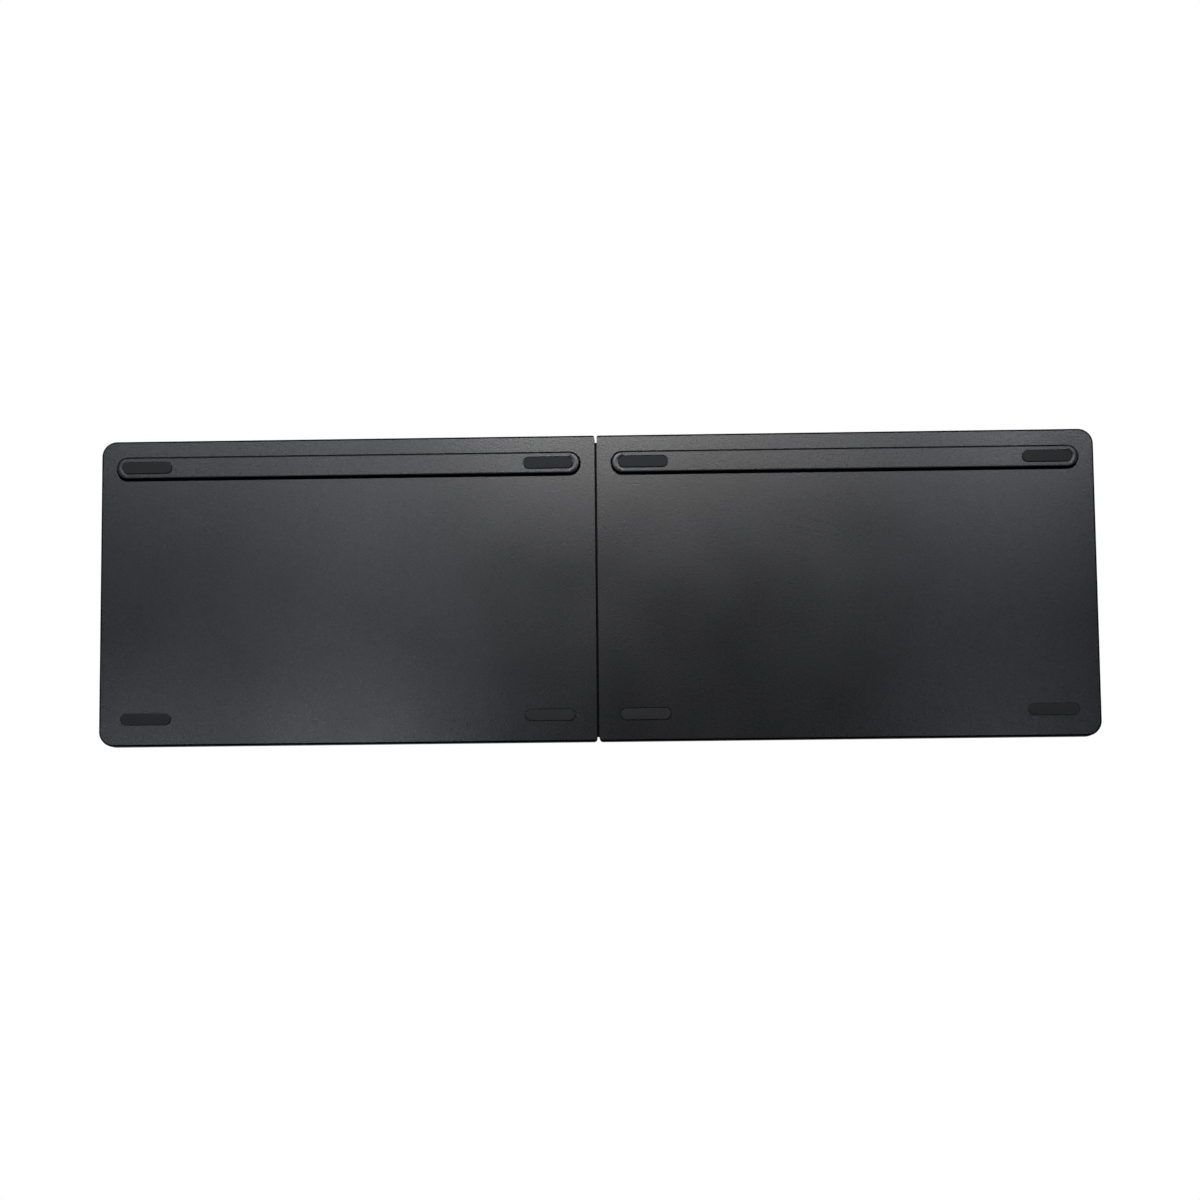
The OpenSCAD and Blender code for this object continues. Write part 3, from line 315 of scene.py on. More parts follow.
def surface(name, colour, roughness, metallic=0.0):
    material, tree, output = shader_nodes(name)
    shader = tree.nodes.new("ShaderNodeBsdfPrincipled")
    shader.inputs["Base Color"].default_value = (*colour, 1)
    shader.inputs["Roughness"].default_value = roughness
    shader.inputs["Metallic"].default_value = metallic
    tree.links.new(shader.outputs[0], output.inputs["Surface"])
    place = tree.nodes.new("ShaderNodeTexCoord").outputs["Object"]
    return material, tree, shader, place


# Most of a noise's values lie between these two
NOISE_LOW, NOISE_HIGH = 0.3, 0.7


def noise(tree, place, per_metre, detail, stretch=None):
    if stretch:
        mapping = tree.nodes.new("ShaderNodeMapping")
        mapping.inputs["Scale"].default_value = stretch
        tree.links.new(place, mapping.inputs["Vector"])
        place = mapping.outputs[0]
    node = tree.nodes.new("ShaderNodeTexNoise")
    node.inputs["Scale"].default_value = per_metre
    node.inputs["Detail"].default_value = detail
    tree.links.new(place, node.inputs["Vector"])
    return node.outputs["Fac"]


def spread(tree, value, low, high):
    node = tree.nodes.new("ShaderNodeMapRange")
    limits = (("From Min", NOISE_LOW), ("From Max", NOISE_HIGH), ("To Min", low), ("To Max", high))
    for socket, number in limits:
        node.inputs[socket].default_value = number
    tree.links.new(value, node.inputs["Value"])
    return node.outputs[0]


def tint(tree, shader, value, dark, light):
    ramp = tree.nodes.new("ShaderNodeValToRGB")
    for stop, position, colour in zip(ramp.color_ramp.elements, (NOISE_LOW, NOISE_HIGH), (dark, light)):
        stop.position = position
        stop.color = (*colour, 1)
    tree.links.new(value, ramp.inputs["Fac"])
    tree.links.new(ramp.outputs["Color"], shader.inputs["Base Color"])


def relief(tree, shader, value, depth_mm):
    bump = tree.nodes.new("ShaderNodeBump")
    bump.inputs["Strength"].default_value = 1.0
    bump.inputs["Distance"].default_value = depth_mm * MM
    tree.links.new(value, bump.inputs["Height"])
    tree.links.new(bump.outputs[0], shader.inputs["Normal"])


# Slow change of shine over a moulding, from the flow of the plastic
FLOW_PER_METRE, FLOW_CHANGE = 35, 0.02


def moulded_plastic(name, dark, light, roughness, grain_mm, depth_mm, shine=0.5):
    material, tree, shader, place = surface(name, light, roughness)
    shader.inputs["Specular IOR Level"].default_value = shine
    grain = noise(tree, place, per_metre=1 / (grain_mm * MM), detail=3)
    tint(tree, shader, grain, dark, light)
    flow = noise(tree, place, FLOW_PER_METRE, detail=1)
    dullness = spread(tree, flow, roughness - FLOW_CHANGE, roughness + FLOW_CHANGE)
    tree.links.new(dullness, shader.inputs["Roughness"])
    relief(tree, shader, grain, depth_mm)
    return material


case_plastic = moulded_plastic(
    "case_plastic", dark=(0.0105, 0.0107, 0.0122), light=(0.0225, 0.0228, 0.0255),
    roughness=0.25, grain_mm=0.5, depth_mm=0.017,
)
# Painted shade: near-black plastic for the soft lower edge, the groove round the rail and the rail's sides
painted_shade_plastic = moulded_plastic(
    "painted_shade_plastic", dark=(0.0015, 0.0015, 0.0018), light=(0.0035, 0.0035, 0.004),
    roughness=0.7, grain_mm=0.6, depth_mm=0.001, shine=0,
)
# Painted shade: a darker, duller copy of the case plastic for the upright side walls and the walls at the hinge
# gap
side_shade_plastic = moulded_plastic(
    "side_shade_plastic", dark=(0.0095, 0.0097, 0.011), light=(0.016, 0.0162, 0.018),
    roughness=0.5, grain_mm=0.6, depth_mm=0.001, shine=0.2,
)
COVER_FACE, RAIL_FACE, SEAM = 0.0, -1.2, 3.2
HALF_L, HALF_D, CORNER, SOFT_EDGE = 145.0, 44.8, 4.4, 0.5
HINGE_GAP, WALL_DEPTH = 0.7, 0.15
RAIL_Y, RAIL_REACH, RAIL_R, END_ROOM = 36.7, 3.5, 2.95, 4.0
GROOVE_R, GROOVE_DEPTH, FRONT_SHIFT = 3.4, 0.3, 0.4
# A point this far outside the cover's face can only be on the rail
RAIL_ONLY = 0.5
# How much of its normal points down or up on an upright wall at most, and on a flat face at least
UPRIGHT, LEVEL = 0.1, 0.995


# Faces of the groove round the rail and of the rail's walls, which get the near-black painted shade
def beside_rail(face):
    heights = [(to_mm @ v.co).z for v in face.verts]
    low, high = min(heights), max(heights)
    middle = to_mm @ face.calc_center_median()
    groove = low > COVER_FACE - ROUNDING and high < GROOVE_DEPTH + ROUNDING and middle.z > 2 * ROUNDING
    rail_wall = low < COVER_FACE - RAIL_ONLY < high < GROOVE_DEPTH + ROUNDING
    in_reach = abs(middle.y - RAIL_Y) < RAIL_REACH and END_ROOM < abs(middle.x) < HALF_L - END_ROOM
    return (groove or rail_wall) and in_reach


# Faces of the cover's soft lower edge, which get the near-black painted shade
def on_soft_edge(face):
    heights = [(to_mm @ v.co).z for v in face.verts]
    down = -(to_mm.to_3x3() @ face.normal).normalized().z
    in_band = min(heights) > COVER_FACE - ROUNDING and max(heights) < SOFT_EDGE + 2 * ROUNDING
    return in_band and UPRIGHT < down < LEVEL


# Upright outer walls and the walls at the hinge gap, which get the darker painted shade
def on_side_wall(face):
    facing = (to_mm.to_3x3() @ face.normal).normalized()
    middle = to_mm @ face.calc_center_median()
    from_half = Vector((middle.x - math.copysign(HALF_L / 2, middle.x), middle.y, 0))
    reaches = ((middle.x, HALF_L), (middle.y, HALF_D))
    past = [max(abs(place) - reach + CORNER, 0) for place, reach in reaches]
    at_wall = math.hypot(*past) > CORNER - WALL_DEPTH or abs(middle.x) < HINGE_GAP
    return at_wall and abs(facing.z) < UPRIGHT and facing.dot(from_half) > 0


# Moves the groove's outer wall forwards in front of the rail, fading out round the rail's ends, so that the
# groove's near-black painted shade also stands for the rail's painted shadow on the cover
def widen_painted_shadow(form):
    spots = {vert: to_mm @ vert.co for vert in form.verts}
    rail = [spot.x for spot in spots.values() if spot.z < COVER_FACE - RAIL_ONLY]
    first, last = min(rail) + RAIL_R, max(rail) - RAIL_R
    for vert, spot in spots.items():
        if not COVER_FACE - ROUNDING < spot.z < GROOVE_DEPTH + ROUNDING:
            continue
        away = Vector((spot.x - min(max(spot.x, first), last), spot.y - RAIL_Y))
        if abs(away.length - GROOVE_R) < ON_IT and away.y < 0:
            spot.y += FRONT_SHIFT * away.y / away.length
            vert.co = from_mm @ spot


COVER_FINISHES = [case_plastic, painted_shade_plastic, side_shade_plastic]
FACE_BREAK, SEAM_BREAK = 0.08, 0.06


# Near-black painted shade for the groove, the rail's walls and the soft lower edge; darker painted shade for the
# side walls
def cover_finish(face):
    if beside_rail(face) or on_soft_edge(face):
        return COVER_FINISHES.index(painted_shade_plastic)
    return COVER_FINISHES.index(side_shade_plastic if on_side_wall(face) else case_plastic)


for half in ("left", "right"):
    form, mesh = merged_copy(f"{half}_bottom_cover", f"{half}_cover")
    for face in form.faces:
        face.material_index = cover_finish(face)
    widen_painted_shadow(form)
    break_edges(form, (COVER_FACE, RAIL_FACE), FACE_BREAK)
    break_edges(form, (SEAM,), SEAM_BREAK, SQUARE)
    finish_piece(form, mesh, f"{half}_half", COVER_FINISHES, f"{half}_bottom_cover")


# ---- feet ----
# Eight moulded silicone-rubber feet with softened rims, stuck in the covers' pockets. The rear four stand
# on the rails and hide the cover screws.
FOOT_RIM = 0.2


def foot_rubber_finish():
    material, tree, shader, place = surface("foot_rubber", (0.008, 0.008, 0.0088), roughness=0.58)
    pores = noise(tree, place, per_metre=5500, detail=4)
    tint(tree, shader, pores, (0.0055, 0.0055, 0.006), (0.0095, 0.0095, 0.0105))
    relief(tree, shader, pores, depth_mm=0.006)
    return material


foot_rubber = foot_rubber_finish()
for half in ("left", "right"):
    form, mesh = merged_copy(f"{half}_feet", f"{half}_rubber_feet")
    bevel(form, outward_edges(form, SOFTENED), FOOT_RIM, segments=3, profile=0.5)
    finish_piece(form, mesh, f"{half}_half", [foot_rubber], f"{half}_feet")


# ---- screws ----
# Black zinc-plated steel with cross recesses: two per half run up from under the rear feet into the top
# frame's bosses, four flush ones hold the hinge leaf to the cover.
def dress(node, material):
    piece = frame["nodes"][node]
    for place in piece.material_slots:
        place.material = material


# How much smoother and rougher the metal gets along its scratches
SMOOTHER, ROUGHER = 0.07, 0.09


def metal(name, dark, light, roughness, scratches, stretch=None, metallic=1.0):
    material, tree, shader, place = surface(name, light, roughness, metallic)
    grain = noise(tree, place, scratches, detail=4, stretch=stretch)
    tint(tree, shader, grain, dark, light)
    dullness = spread(tree, grain, roughness - SMOOTHER, roughness + ROUGHER)
    tree.links.new(dullness, shader.inputs["Roughness"])
    relief(tree, shader, grain, depth_mm=0.002)
    return material


screw_steel = metal(
    "screw_steel", dark=(0.1, 0.1, 0.108), light=(0.19, 0.19, 0.2), roughness=0.38, scratches=3000
)
for half in ("left", "right"):
    dress(f"{half}_screws", screw_steel)


# ---- key plates ----
# Zinc-coated sheet steel on the covers' ribs, pressed, with tabs bent up to hold the scissors. Its grain
# runs along the rolling direction, and the left one carries two flags for the magnets.
plate_steel = metal(
    "plate_steel", dark=(0.36, 0.37, 0.38), light=(0.56, 0.57, 0.58),
    roughness=0.34, scratches=900, stretch=(0.05, 1, 1),
)
for half in ("left", "right"):
    dress(f"{half}_key_plate", plate_steel)


# ---- membranes ----
# Layers of clear polyester film with printed silver tracks, laid on the key plate and slotted for its
# tabs. A tail runs to the hinge's cable and, in the right half, one to the board.
TRACKS_PER_METRE, TRACK_BEND, TRACK_EDGE = 420, 1.6, 0.4


def printed_film():
    material, tree, shader, place = surface("printed_film", (0.4, 0.48, 0.43), roughness=0.24)
    shader.inputs["Transmission Weight"].default_value = 0.35
    split = tree.nodes.new("ShaderNodeSeparateXYZ")
    tree.links.new(place, split.inputs[0])
    bend = noise(tree, place, per_metre=60, detail=1)
    straight = maths(tree, "MULTIPLY", split.outputs["Y"], TRACKS_PER_METRE)
    lane = maths(tree, "ADD", straight, maths(tree, "MULTIPLY", bend, TRACK_BEND))
    wave = maths(tree, "PINGPONG", lane, 0.5)
    track = maths(tree, "GREATER_THAN", wave, TRACK_EDGE)
    tint(tree, shader, track, (0.33, 0.42, 0.36), (0.62, 0.63, 0.62))
    relief(tree, shader, track, depth_mm=0.01)
    return material


film = printed_film()
for half in ("left", "right"):
    dress(f"{half}_membrane", film)


# ---- domes ----
# Translucent silicone domes, one under each key, moulded and glued to the film. In the real keyboard a dome
# flattens between the film and its keycap as that key goes down; here each key's dome is split off as a piece
# of its own on the half.
FILM_TOP, CAP_CEILING, KEY_TRAVEL, LEAST_CAP = 1.95, 4.2, 1.2, 8


def loose_parts(form):
    left_over = set(form.verts)
    parts = []
    while left_over:
        part, edge_of = set(), [left_over.pop()]
        while edge_of:
            vert = edge_of.pop()
            part.add(vert)
            for link in vert.link_edges:
                other = link.other_vert(vert)
                if other in left_over:
                    left_over.remove(other)
                    edge_of.append(other)
        parts.append(part)
    return parts


def box_in_mm(part):
    points = [to_mm @ v.co for v in part]
    return [[pick(p[i] for p in points) for i in range(3)] for pick in (min, max)]


def cap_places(node):
    form, mesh = merged_copy(node, "places")
    boxes = [box_in_mm(part) for part in loose_parts(form)]
    form.free()
    bpy.data.meshes.remove(mesh)
    caps = [(lows, highs) for lows, highs in boxes if highs[0] - lows[0] > LEAST_CAP]
    return sorted(caps, key=lambda cap: (-round(cap[0][1] + cap[1][1]), cap[0][0]))


CAP_PLACES = {
    body: cap_places(nodes[0])
    for body, nodes in frame["record"]["behaviour"]["bodies"].items()
    if nodes[0].startswith("key_") or nodes[0].endswith(("_keys", "_space_key"))
}


def key_over(part):
    lows, highs = box_in_mm(part)
    x, y = (lows[0] + highs[0]) / 2, (lows[1] + highs[1]) / 2
    for number, places in enumerate(CAP_PLACES.values(), 1):
        if any(low[0] < x < high[0] and low[1] < y < high[1] for low, high in places):
            return number
    return 0


def flatten_with_keys(node, name, body, material):
    form, mesh = merged_copy(node, name)
    bpy.data.meshes.remove(mesh)
    owner = form.faces.layers.int.new("owner")
    for part in loose_parts(form):
        number = key_over(part)
        for face in {face for vert in part for face in vert.link_faces}:
            face[owner] = number
    for number, key in enumerate(CAP_PLACES, 1):
        if not any(face[owner] == number for face in form.faces):
            continue
        share = form.copy()
        layer = share.faces.layers.int["owner"]
        bmesh.ops.delete(share, geom=[f for f in share.faces if f[layer] != number], context="FACES")
        share.faces.layers.int.remove(layer)
        piece = finish_piece(share, bpy.data.meshes.new(f"{name}_{key}"), body, [material], node)
        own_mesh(piece)
    form.free()


def milky_rubber():
    material, tree, shader, place = surface("milky_rubber", (0.78, 0.79, 0.77), roughness=0.42)
    shader.inputs["Subsurface Weight"].default_value = 0.4
    shader.inputs["Subsurface Scale"].default_value = 0.8 * MM
    clouds = noise(tree, place, per_metre=700, detail=3)
    tint(tree, shader, clouds, (0.66, 0.68, 0.65), (0.82, 0.83, 0.81))
    relief(tree, shader, clouds, depth_mm=0.01)
    return material


dome_rubber = milky_rubber()
for half in ("left", "right"):
    flatten_with_keys(f"{half}_domes", "dome", f"{half}_half", dome_rubber)


# ---- scissors ----
# Natural acetal: pairs of moulded frames crossed on snapped-in stubs, one pair under a key and two under a
# space key. They stand between film and keycap; each key's scissors are split off as a piece of its own on the
# half.
acetal = moulded_plastic(
    "acetal", dark=(0.7, 0.7, 0.66), light=(0.84, 0.84, 0.8),
    roughness=0.36, grain_mm=0.5, depth_mm=0.003,
)
for half in ("left", "right"):
    flatten_with_keys(f"{half}_scissors", "scissors", f"{half}_half", acetal)


# ---- hinge ----
# Dark coated steel: two pressed leaves with rolled knuckles, screwed to the covers. They turn on two stub
# pins, which the end knuckles grip and their neighbours run on.
coated_steel = metal(
    "coated_steel", dark=(0.005, 0.005, 0.0056), light=(0.0095, 0.0095, 0.0105),
    roughness=0.55, scratches=2400, stretch=(1, 0.3, 1), metallic=0.5,
)
for node in ("left_hinge_leaf", "right_hinge_leaf", "hinge_pins"):
    dress(node, coated_steel)


# ---- hinge cable ----
# Round cable with a soft black jacket. It crosses from half to half along the hinge's axis, bends down on
# either side and ends in a connector.
jacket = moulded_plastic(
    "jacket", dark=(0.012, 0.012, 0.013), light=(0.022, 0.022, 0.024),
    roughness=0.5, grain_mm=0.15, depth_mm=0.004,
)
for half in ("left", "right"):
    dress(f"{half}_hinge_cable", jacket)


# ---- magnets ----
# Two nickel-plated bars pressed into the right half's frame. They pull on steel flags of the left key plate
# and hold the keyboard shut.
nickel = metal("nickel", dark=(0.6, 0.59, 0.57), light=(0.74, 0.73, 0.7), roughness=0.2, scratches=1800)
dress("magnets", nickel)


# ---- battery ----
# Lithium pouch cell of embossed aluminium foil with rounded long sides, lying on the right cover's floor
# in the rear strip. Two leads run to the board.
def foil_finish():
    material, tree, shader, place = surface("pouch_foil", (0.66, 0.67, 0.69), roughness=0.3, metallic=1.0)
    creases = noise(tree, place, per_metre=450, detail=6, stretch=(0.35, 1, 1))
    tint(tree, shader, creases, (0.54, 0.55, 0.57), (0.74, 0.75, 0.77))
    relief(tree, shader, creases, depth_mm=0.05)
    return material


dress("battery", foil_finish())


# ---- controller board ----
# Green solder-masked laminate on posts of the right cover. Its controller, radio, resistors, lights and
# switch housing are soldered on top and share one dark epoxy finish.
BOARD_TOP, PART_LIFT, PART_BREAK = 2.55, 0.1, 0.04


def board_finishes():
    mask, tree, shader, place = surface("solder_mask", (0.02, 0.13, 0.06), roughness=0.28)
    copper = noise(tree, place, per_metre=900, detail=2)
    tint(tree, shader, copper, (0.012, 0.085, 0.038), (0.03, 0.17, 0.08))
    relief(tree, shader, copper, depth_mm=0.02)
    parts = moulded_plastic(
        "part_epoxy", dark=(0.012, 0.012, 0.012), light=(0.02, 0.02, 0.021),
        roughness=0.45, grain_mm=0.3, depth_mm=0.004,
    )
    return [mask, parts]


form, mesh = merged_copy("controller_board", "board_with_parts")
for face in form.faces:
    face.material_index = int((to_mm @ face.calc_center_median()).z > BOARD_TOP + PART_LIFT)
bevel(form, outward_edges(form, SQUARE), PART_BREAK, segments=1)
finish_piece(form, mesh, "right_half", board_finishes(), "controller_board")


# ---- charging port ----
# Drawn stainless shell on two wings that are soldered to the board, open to the rear, with a black
# moulded tongue in it.
PORT_HEIGHT, TONGUE_REACH, TONGUE_L, TONGUE_RISE = 2.75, 3.4, 6.4, 0.37
port_steel = metal(
    "port_steel", dark=(0.5, 0.51, 0.52), light=(0.66, 0.67, 0.68),
    roughness=0.26, scratches=2500, stretch=(0.2, 1, 1),
)
tongue_plastic = moulded_plastic(
    "tongue_plastic", dark=(0.012, 0.012, 0.012), light=(0.018, 0.018, 0.019),
    roughness=0.4, grain_mm=0.2, depth_mm=0.003,
)
low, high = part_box("charging_port")
port_low, port_high = to_mm @ low, to_mm @ high
port_mouth = Vector(((port_low.x + port_high.x) / 2, port_high.y, PORT_HEIGHT))
form, mesh = merged_copy("charging_port", "port_shell")
for face in form.faces:
    middle = to_mm @ face.calc_center_median() - port_mouth
    across = abs(middle.x) < TONGUE_REACH and abs(middle.z) < TONGUE_RISE
    face.material_index = int(across and middle.y > -TONGUE_L)
finish_piece(form, mesh, "right_half", [port_steel, tongue_plastic], "charging_port")


# ---- port contacts ----
# Small gold-plated strips, a row on each face of the port's tongue, half sunk into it.
# Both rows are one Geometry Nodes tree: a line of points, the same line lifted, a strip on each point.
def row_tree():
    tree = bpy.data.node_groups.new("contact_row", "GeometryNodeTree")
    panel = tree.interface
    panel.new_socket("Geometry", in_out="OUTPUT", socket_type="NodeSocketGeometry")
    kinds = {"Count": "Int", "Start": "Vector", "Step": "Vector", "Size": "Vector", "Lift": "Vector",
             "Finish": "Material"}
    sockets = {}
    for name, kind in kinds.items():
        made = panel.new_socket(name, in_out="INPUT", socket_type=f"NodeSocket{kind}")
        sockets[name] = made.identifier
    given = tree.nodes.new("NodeGroupInput")
    line = tree.nodes.new("GeometryNodeMeshLine")
    tree.links.new(given.outputs["Count"], line.inputs["Count"])
    tree.links.new(given.outputs["Start"], line.inputs["Start Location"])
    tree.links.new(given.outputs["Step"], line.inputs["Offset"])
    lifted = tree.nodes.new("GeometryNodeSetPosition")
    tree.links.new(line.outputs[0], lifted.inputs["Geometry"])
    tree.links.new(given.outputs["Lift"], lifted.inputs["Offset"])
    both = tree.nodes.new("GeometryNodeJoinGeometry")
    tree.links.new(line.outputs[0], both.inputs[0])
    tree.links.new(lifted.outputs[0], both.inputs[0])
    plate = tree.nodes.new("GeometryNodeMeshCube")
    tree.links.new(given.outputs["Size"], plate.inputs["Size"])
    placed = tree.nodes.new("GeometryNodeInstanceOnPoints")
    tree.links.new(both.outputs[0], placed.inputs["Points"])
    tree.links.new(plate.outputs[0], placed.inputs["Instance"])
    real = tree.nodes.new("GeometryNodeRealizeInstances")
    tree.links.new(placed.outputs[0], real.inputs[0])
    finish = tree.nodes.new("GeometryNodeSetMaterial")
    tree.links.new(real.outputs[0], finish.inputs["Geometry"])
    tree.links.new(given.outputs["Finish"], finish.inputs["Material"])
    result = tree.nodes.new("NodeGroupOutput")
    tree.links.new(finish.outputs[0], result.inputs[0])
    return tree, sockets


CONTACTS, CONTACT_PITCH, CONTACT_SIZE, CONTACT_INSET, TONGUE = 12, 0.5, (0.26, 3.6, 0.06), 1.3, 0.7
gold = metal(
    "gold_plating", dark=(0.75, 0.5, 0.16), light=(0.86, 0.62, 0.25), roughness=0.22, scratches=4000
)
tree, sockets = row_tree()
contacts = bpy.data.objects.new("port_contacts", bpy.data.meshes.new("port_contacts"))
bpy.context.scene.collection.objects.link(contacts)
rows = contacts.modifiers.new("rows", "NODES")
rows.node_group = tree
first_x = -(CONTACTS - 1) / 2 * CONTACT_PITCH
start = port_mouth + Vector((first_x, -CONTACT_INSET - CONTACT_SIZE[1] / 2, -TONGUE / 2))
given = {"Count": CONTACTS, "Start": tuple(start), "Step": (CONTACT_PITCH, 0, 0), "Size": CONTACT_SIZE,
         "Lift": (0, 0, TONGUE), "Finish": gold}
for name, value in given.items():
    rows[sockets[name]] = value
contacts.data = plain_mesh(contacts)
contacts.data.transform(from_mm)
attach(contacts, "right_half")


# ---- power switch ----
# Small moulded slide with three grip ribs. It runs in a recess of the right half's rear edge, and its stem
# reaches into the housing on the board.
switch_plastic = moulded_plastic(
    "switch_plastic", dark=(0.014, 0.014, 0.015), light=(0.02, 0.02, 0.022),
    roughness=0.38, grain_mm=0.25, depth_mm=0.003,
)
dress("power_switch_knob", switch_plastic)


# ---- lights ----
# Frosted clear light pipe over the board's lights: one moulding, a bar under the top skin with three studs
# through it that end flush.
def frosted_clear():
    material, tree, shader, place = surface("light_pipe", (0.86, 0.88, 0.9), roughness=0.35)
    shader.inputs["Transmission Weight"].default_value = 0.6
    shader.inputs["IOR"].default_value = 1.5
    frost = noise(tree, place, per_metre=3500, detail=3)
    tint(tree, shader, frost, (0.78, 0.8, 0.83), (0.9, 0.92, 0.94))
    relief(tree, shader, frost, depth_mm=0.006)
    return material


dress("indicator_lens", frosted_clear())


# ---- top frames ----
# Moulded in the covers' plastic: rim, deck with an opening for each key, and the skin over the electronics.
# Screwed and hooked to the cover along the seam. The rim is slightly broken, its outer walls duller and painted
# darker as painted shade.
TOP_FACE, DECK_FACE, RIM_BREAK = 5.3, 4.0, 0.12
frame_plastic = moulded_plastic(
    "frame_plastic", dark=(0.017, 0.0172, 0.019), light=(0.025, 0.0254, 0.028),
    roughness=0.36, grain_mm=0.35, depth_mm=0.004,
)
for half in ("left", "right"):
    form, mesh = merged_copy(f"{half}_top_frame", f"{half}_frame")
    for face in form.faces:
        # The outer walls get the darker painted shade
        face.material_index = int(on_side_wall(face))
    break_edges(form, (TOP_FACE,), RIM_BREAK)
    break_edges(form, (DECK_FACE,), FACE_BREAK)
    break_edges(form, (SEAM,), SEAM_BREAK, SQUARE)
    finish_piece(form, mesh, f"{half}_half", [frame_plastic, side_shade_plastic], f"{half}_top_frame")


# ---- switch legend ----
# OFF and ON in thin pale ink, printed on the skin over the power switch, to either side of its slide.
# The ink stands about a hundredth of a millimetre proud.
INK, INK_SHARP = 0.012, 40


def ink_text(text, size):
    curve = bpy.data.curves.new("ink", "FONT")
    curve.body = text
    curve.size = size
    curve.align_x = "CENTER"
    curve.align_y = "CENTER"
    curve.resolution_u = 3
    curve.extrude = INK
    writing = bpy.data.objects.new("ink", curve)
    bpy.context.scene.collection.objects.link(writing)
    mesh = plain_mesh(writing)
    bpy.data.objects.remove(writing)
    return mesh


WORD_SIZE, WORD_OFFSET, WORD_INSET, SWITCH_TRAVEL = 1.7, 3.1, 2.6, 2.0
legend_ink, tree, shader, place = surface("legend_ink", (0.62, 0.63, 0.65), roughness=0.5)
speckle = noise(tree, place, per_metre=6000, detail=3)
tint(tree, shader, speckle, (0.55, 0.56, 0.58), (0.66, 0.67, 0.69))
relief(tree, shader, speckle, depth_mm=0.003)
low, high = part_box("power_switch_knob")
knob_low, knob_high = to_mm @ low, to_mm @ high
switch_middle = (knob_low.x + knob_high.x + SWITCH_TRAVEL) / 2
word_y = knob_high.y - WORD_INSET
form = bmesh.new()
for word, side in (("OFF", -1), ("ON", 1)):
    mesh = ink_text(word, WORD_SIZE)
    mesh.transform(Matrix.Translation((switch_middle + side * WORD_OFFSET, word_y, TOP_FACE)))
    form.from_mesh(mesh)
bmesh.ops.transform(form, verts=form.verts, matrix=from_mm)
words = bpy.data.meshes.new("switch_words")
finish_piece(form, words, "right_half", [legend_ink], None, INK_SHARP)


# ---- keycaps ----
# Hollow moulded caps with a shallow dish and a soft rim; lugs inside hold the scissors' upper ends. The
# legends are a thin layer of pale ink, and F and J carry a homing bar.
CAP_HEIGHT, CAP_TOP, CAP_WALL, CAP_CORNER, CAP_LEAN, CAP_EDGE = 1.4, 0.9, 1.0, 1.3, 0.25, 0.25
CORNER_STEPS, SIDE_STEPS, EDGE_STEPS = 5, 8, 4
DISH, WIDE_DISH, WIDE_CAP, LEAST_CORNER, SKIRT_BREAK = 0.14, 0.04, 40.0, 0.3, 0.08
DISH_RINGS = (0.94, 0.84, 0.7, 0.52, 0.32, 0.12)
SPACE_KEY_SCISSORS = 12.0
LUG_X, LUG_Y, LUG_HALF_W, LUG_HALF_D, LUG_DROP, LUG_SINK = 5.35, 4.0, 0.25, 0.5, 0.7, 0.05
BAR_REACH, BAR_FRONT, BAR_REAR, BAR_SINK, BAR_RISE = 1.5, 2.15, 2.65, 0.12, 0.06


def rounded_loop(form, half_w, half_d, radius, height):
    corners = []
    for quarter, (sx, sy) in enumerate(((1, 1), (-1, 1), (-1, -1), (1, -1))):
        centre = Vector((sx * (half_w - radius), sy * (half_d - radius), height))
        turns = [math.radians(90 * (quarter + step / CORNER_STEPS)) for step in range(CORNER_STEPS + 1)]
        corners.append([centre + radius * Vector((math.cos(turn), math.sin(turn), 0)) for turn in turns])
    points = []
    for corner, following in zip(corners, corners[1:] + corners[:1]):
        points += corner
        points += [corner[-1].lerp(following[0], step / SIDE_STEPS) for step in range(1, SIDE_STEPS)]
    return [form.verts.new(point) for point in points]


def skin(form, loops):
    for lower, upper in zip(loops, loops[1:]):
        for i in range(len(lower)):
            j = (i + 1) % len(lower)
            form.faces.new((lower[i], lower[j], upper[j], upper[i]))


def block(form, low, high):
    xs, ys, zs = zip(low, high)
    corner = [[[form.verts.new((x, y, z)) for z in zs] for y in ys] for x in xs]
    quads = (
        ((0, 0, 0), (0, 0, 1), (0, 1, 1), (0, 1, 0)),
        ((1, 0, 0), (1, 1, 0), (1, 1, 1), (1, 0, 1)),
        ((0, 0, 0), (1, 0, 0), (1, 0, 1), (0, 0, 1)),
        ((0, 1, 0), (0, 1, 1), (1, 1, 1), (1, 1, 0)),
        ((0, 0, 0), (0, 1, 0), (1, 1, 0), (1, 0, 0)),
        ((0, 0, 1), (1, 0, 1), (1, 1, 1), (0, 1, 1)),
    )
    for quad in quads:
        form.faces.new([corner[a][b][c] for a, b, c in quad])


def dish_height(x, y, half_w, half_d, depth):
    inside = max(0, 1 - (x / half_w) ** 2) * max(0, 1 - (y / half_d) ** 2)
    return CAP_HEIGHT - depth * inside


def cap_profile():
    side_top = CAP_HEIGHT - CAP_EDGE
    profile = [(SKIRT_BREAK, 0.0), (0.0, SKIRT_BREAK), (CAP_LEAN, side_top)]
    for step in range(1, EDGE_STEPS + 1):
        turn = math.radians(90 * step / EDGE_STEPS)
        profile.append((CAP_LEAN + CAP_EDGE * (1 - math.cos(turn)), side_top + CAP_EDGE * math.sin(turn)))
    return profile


def add_lugs(form, scissor_x):
    ceiling = CAP_HEIGHT - CAP_TOP
    for x in (scissor_x - LUG_X, scissor_x + LUG_X):
        for y in (-LUG_Y, LUG_Y):
            block(form, (x - LUG_HALF_W, y - LUG_HALF_D, ceiling - LUG_DROP),
                  (x + LUG_HALF_W, y + LUG_HALF_D, ceiling + LUG_SINK))


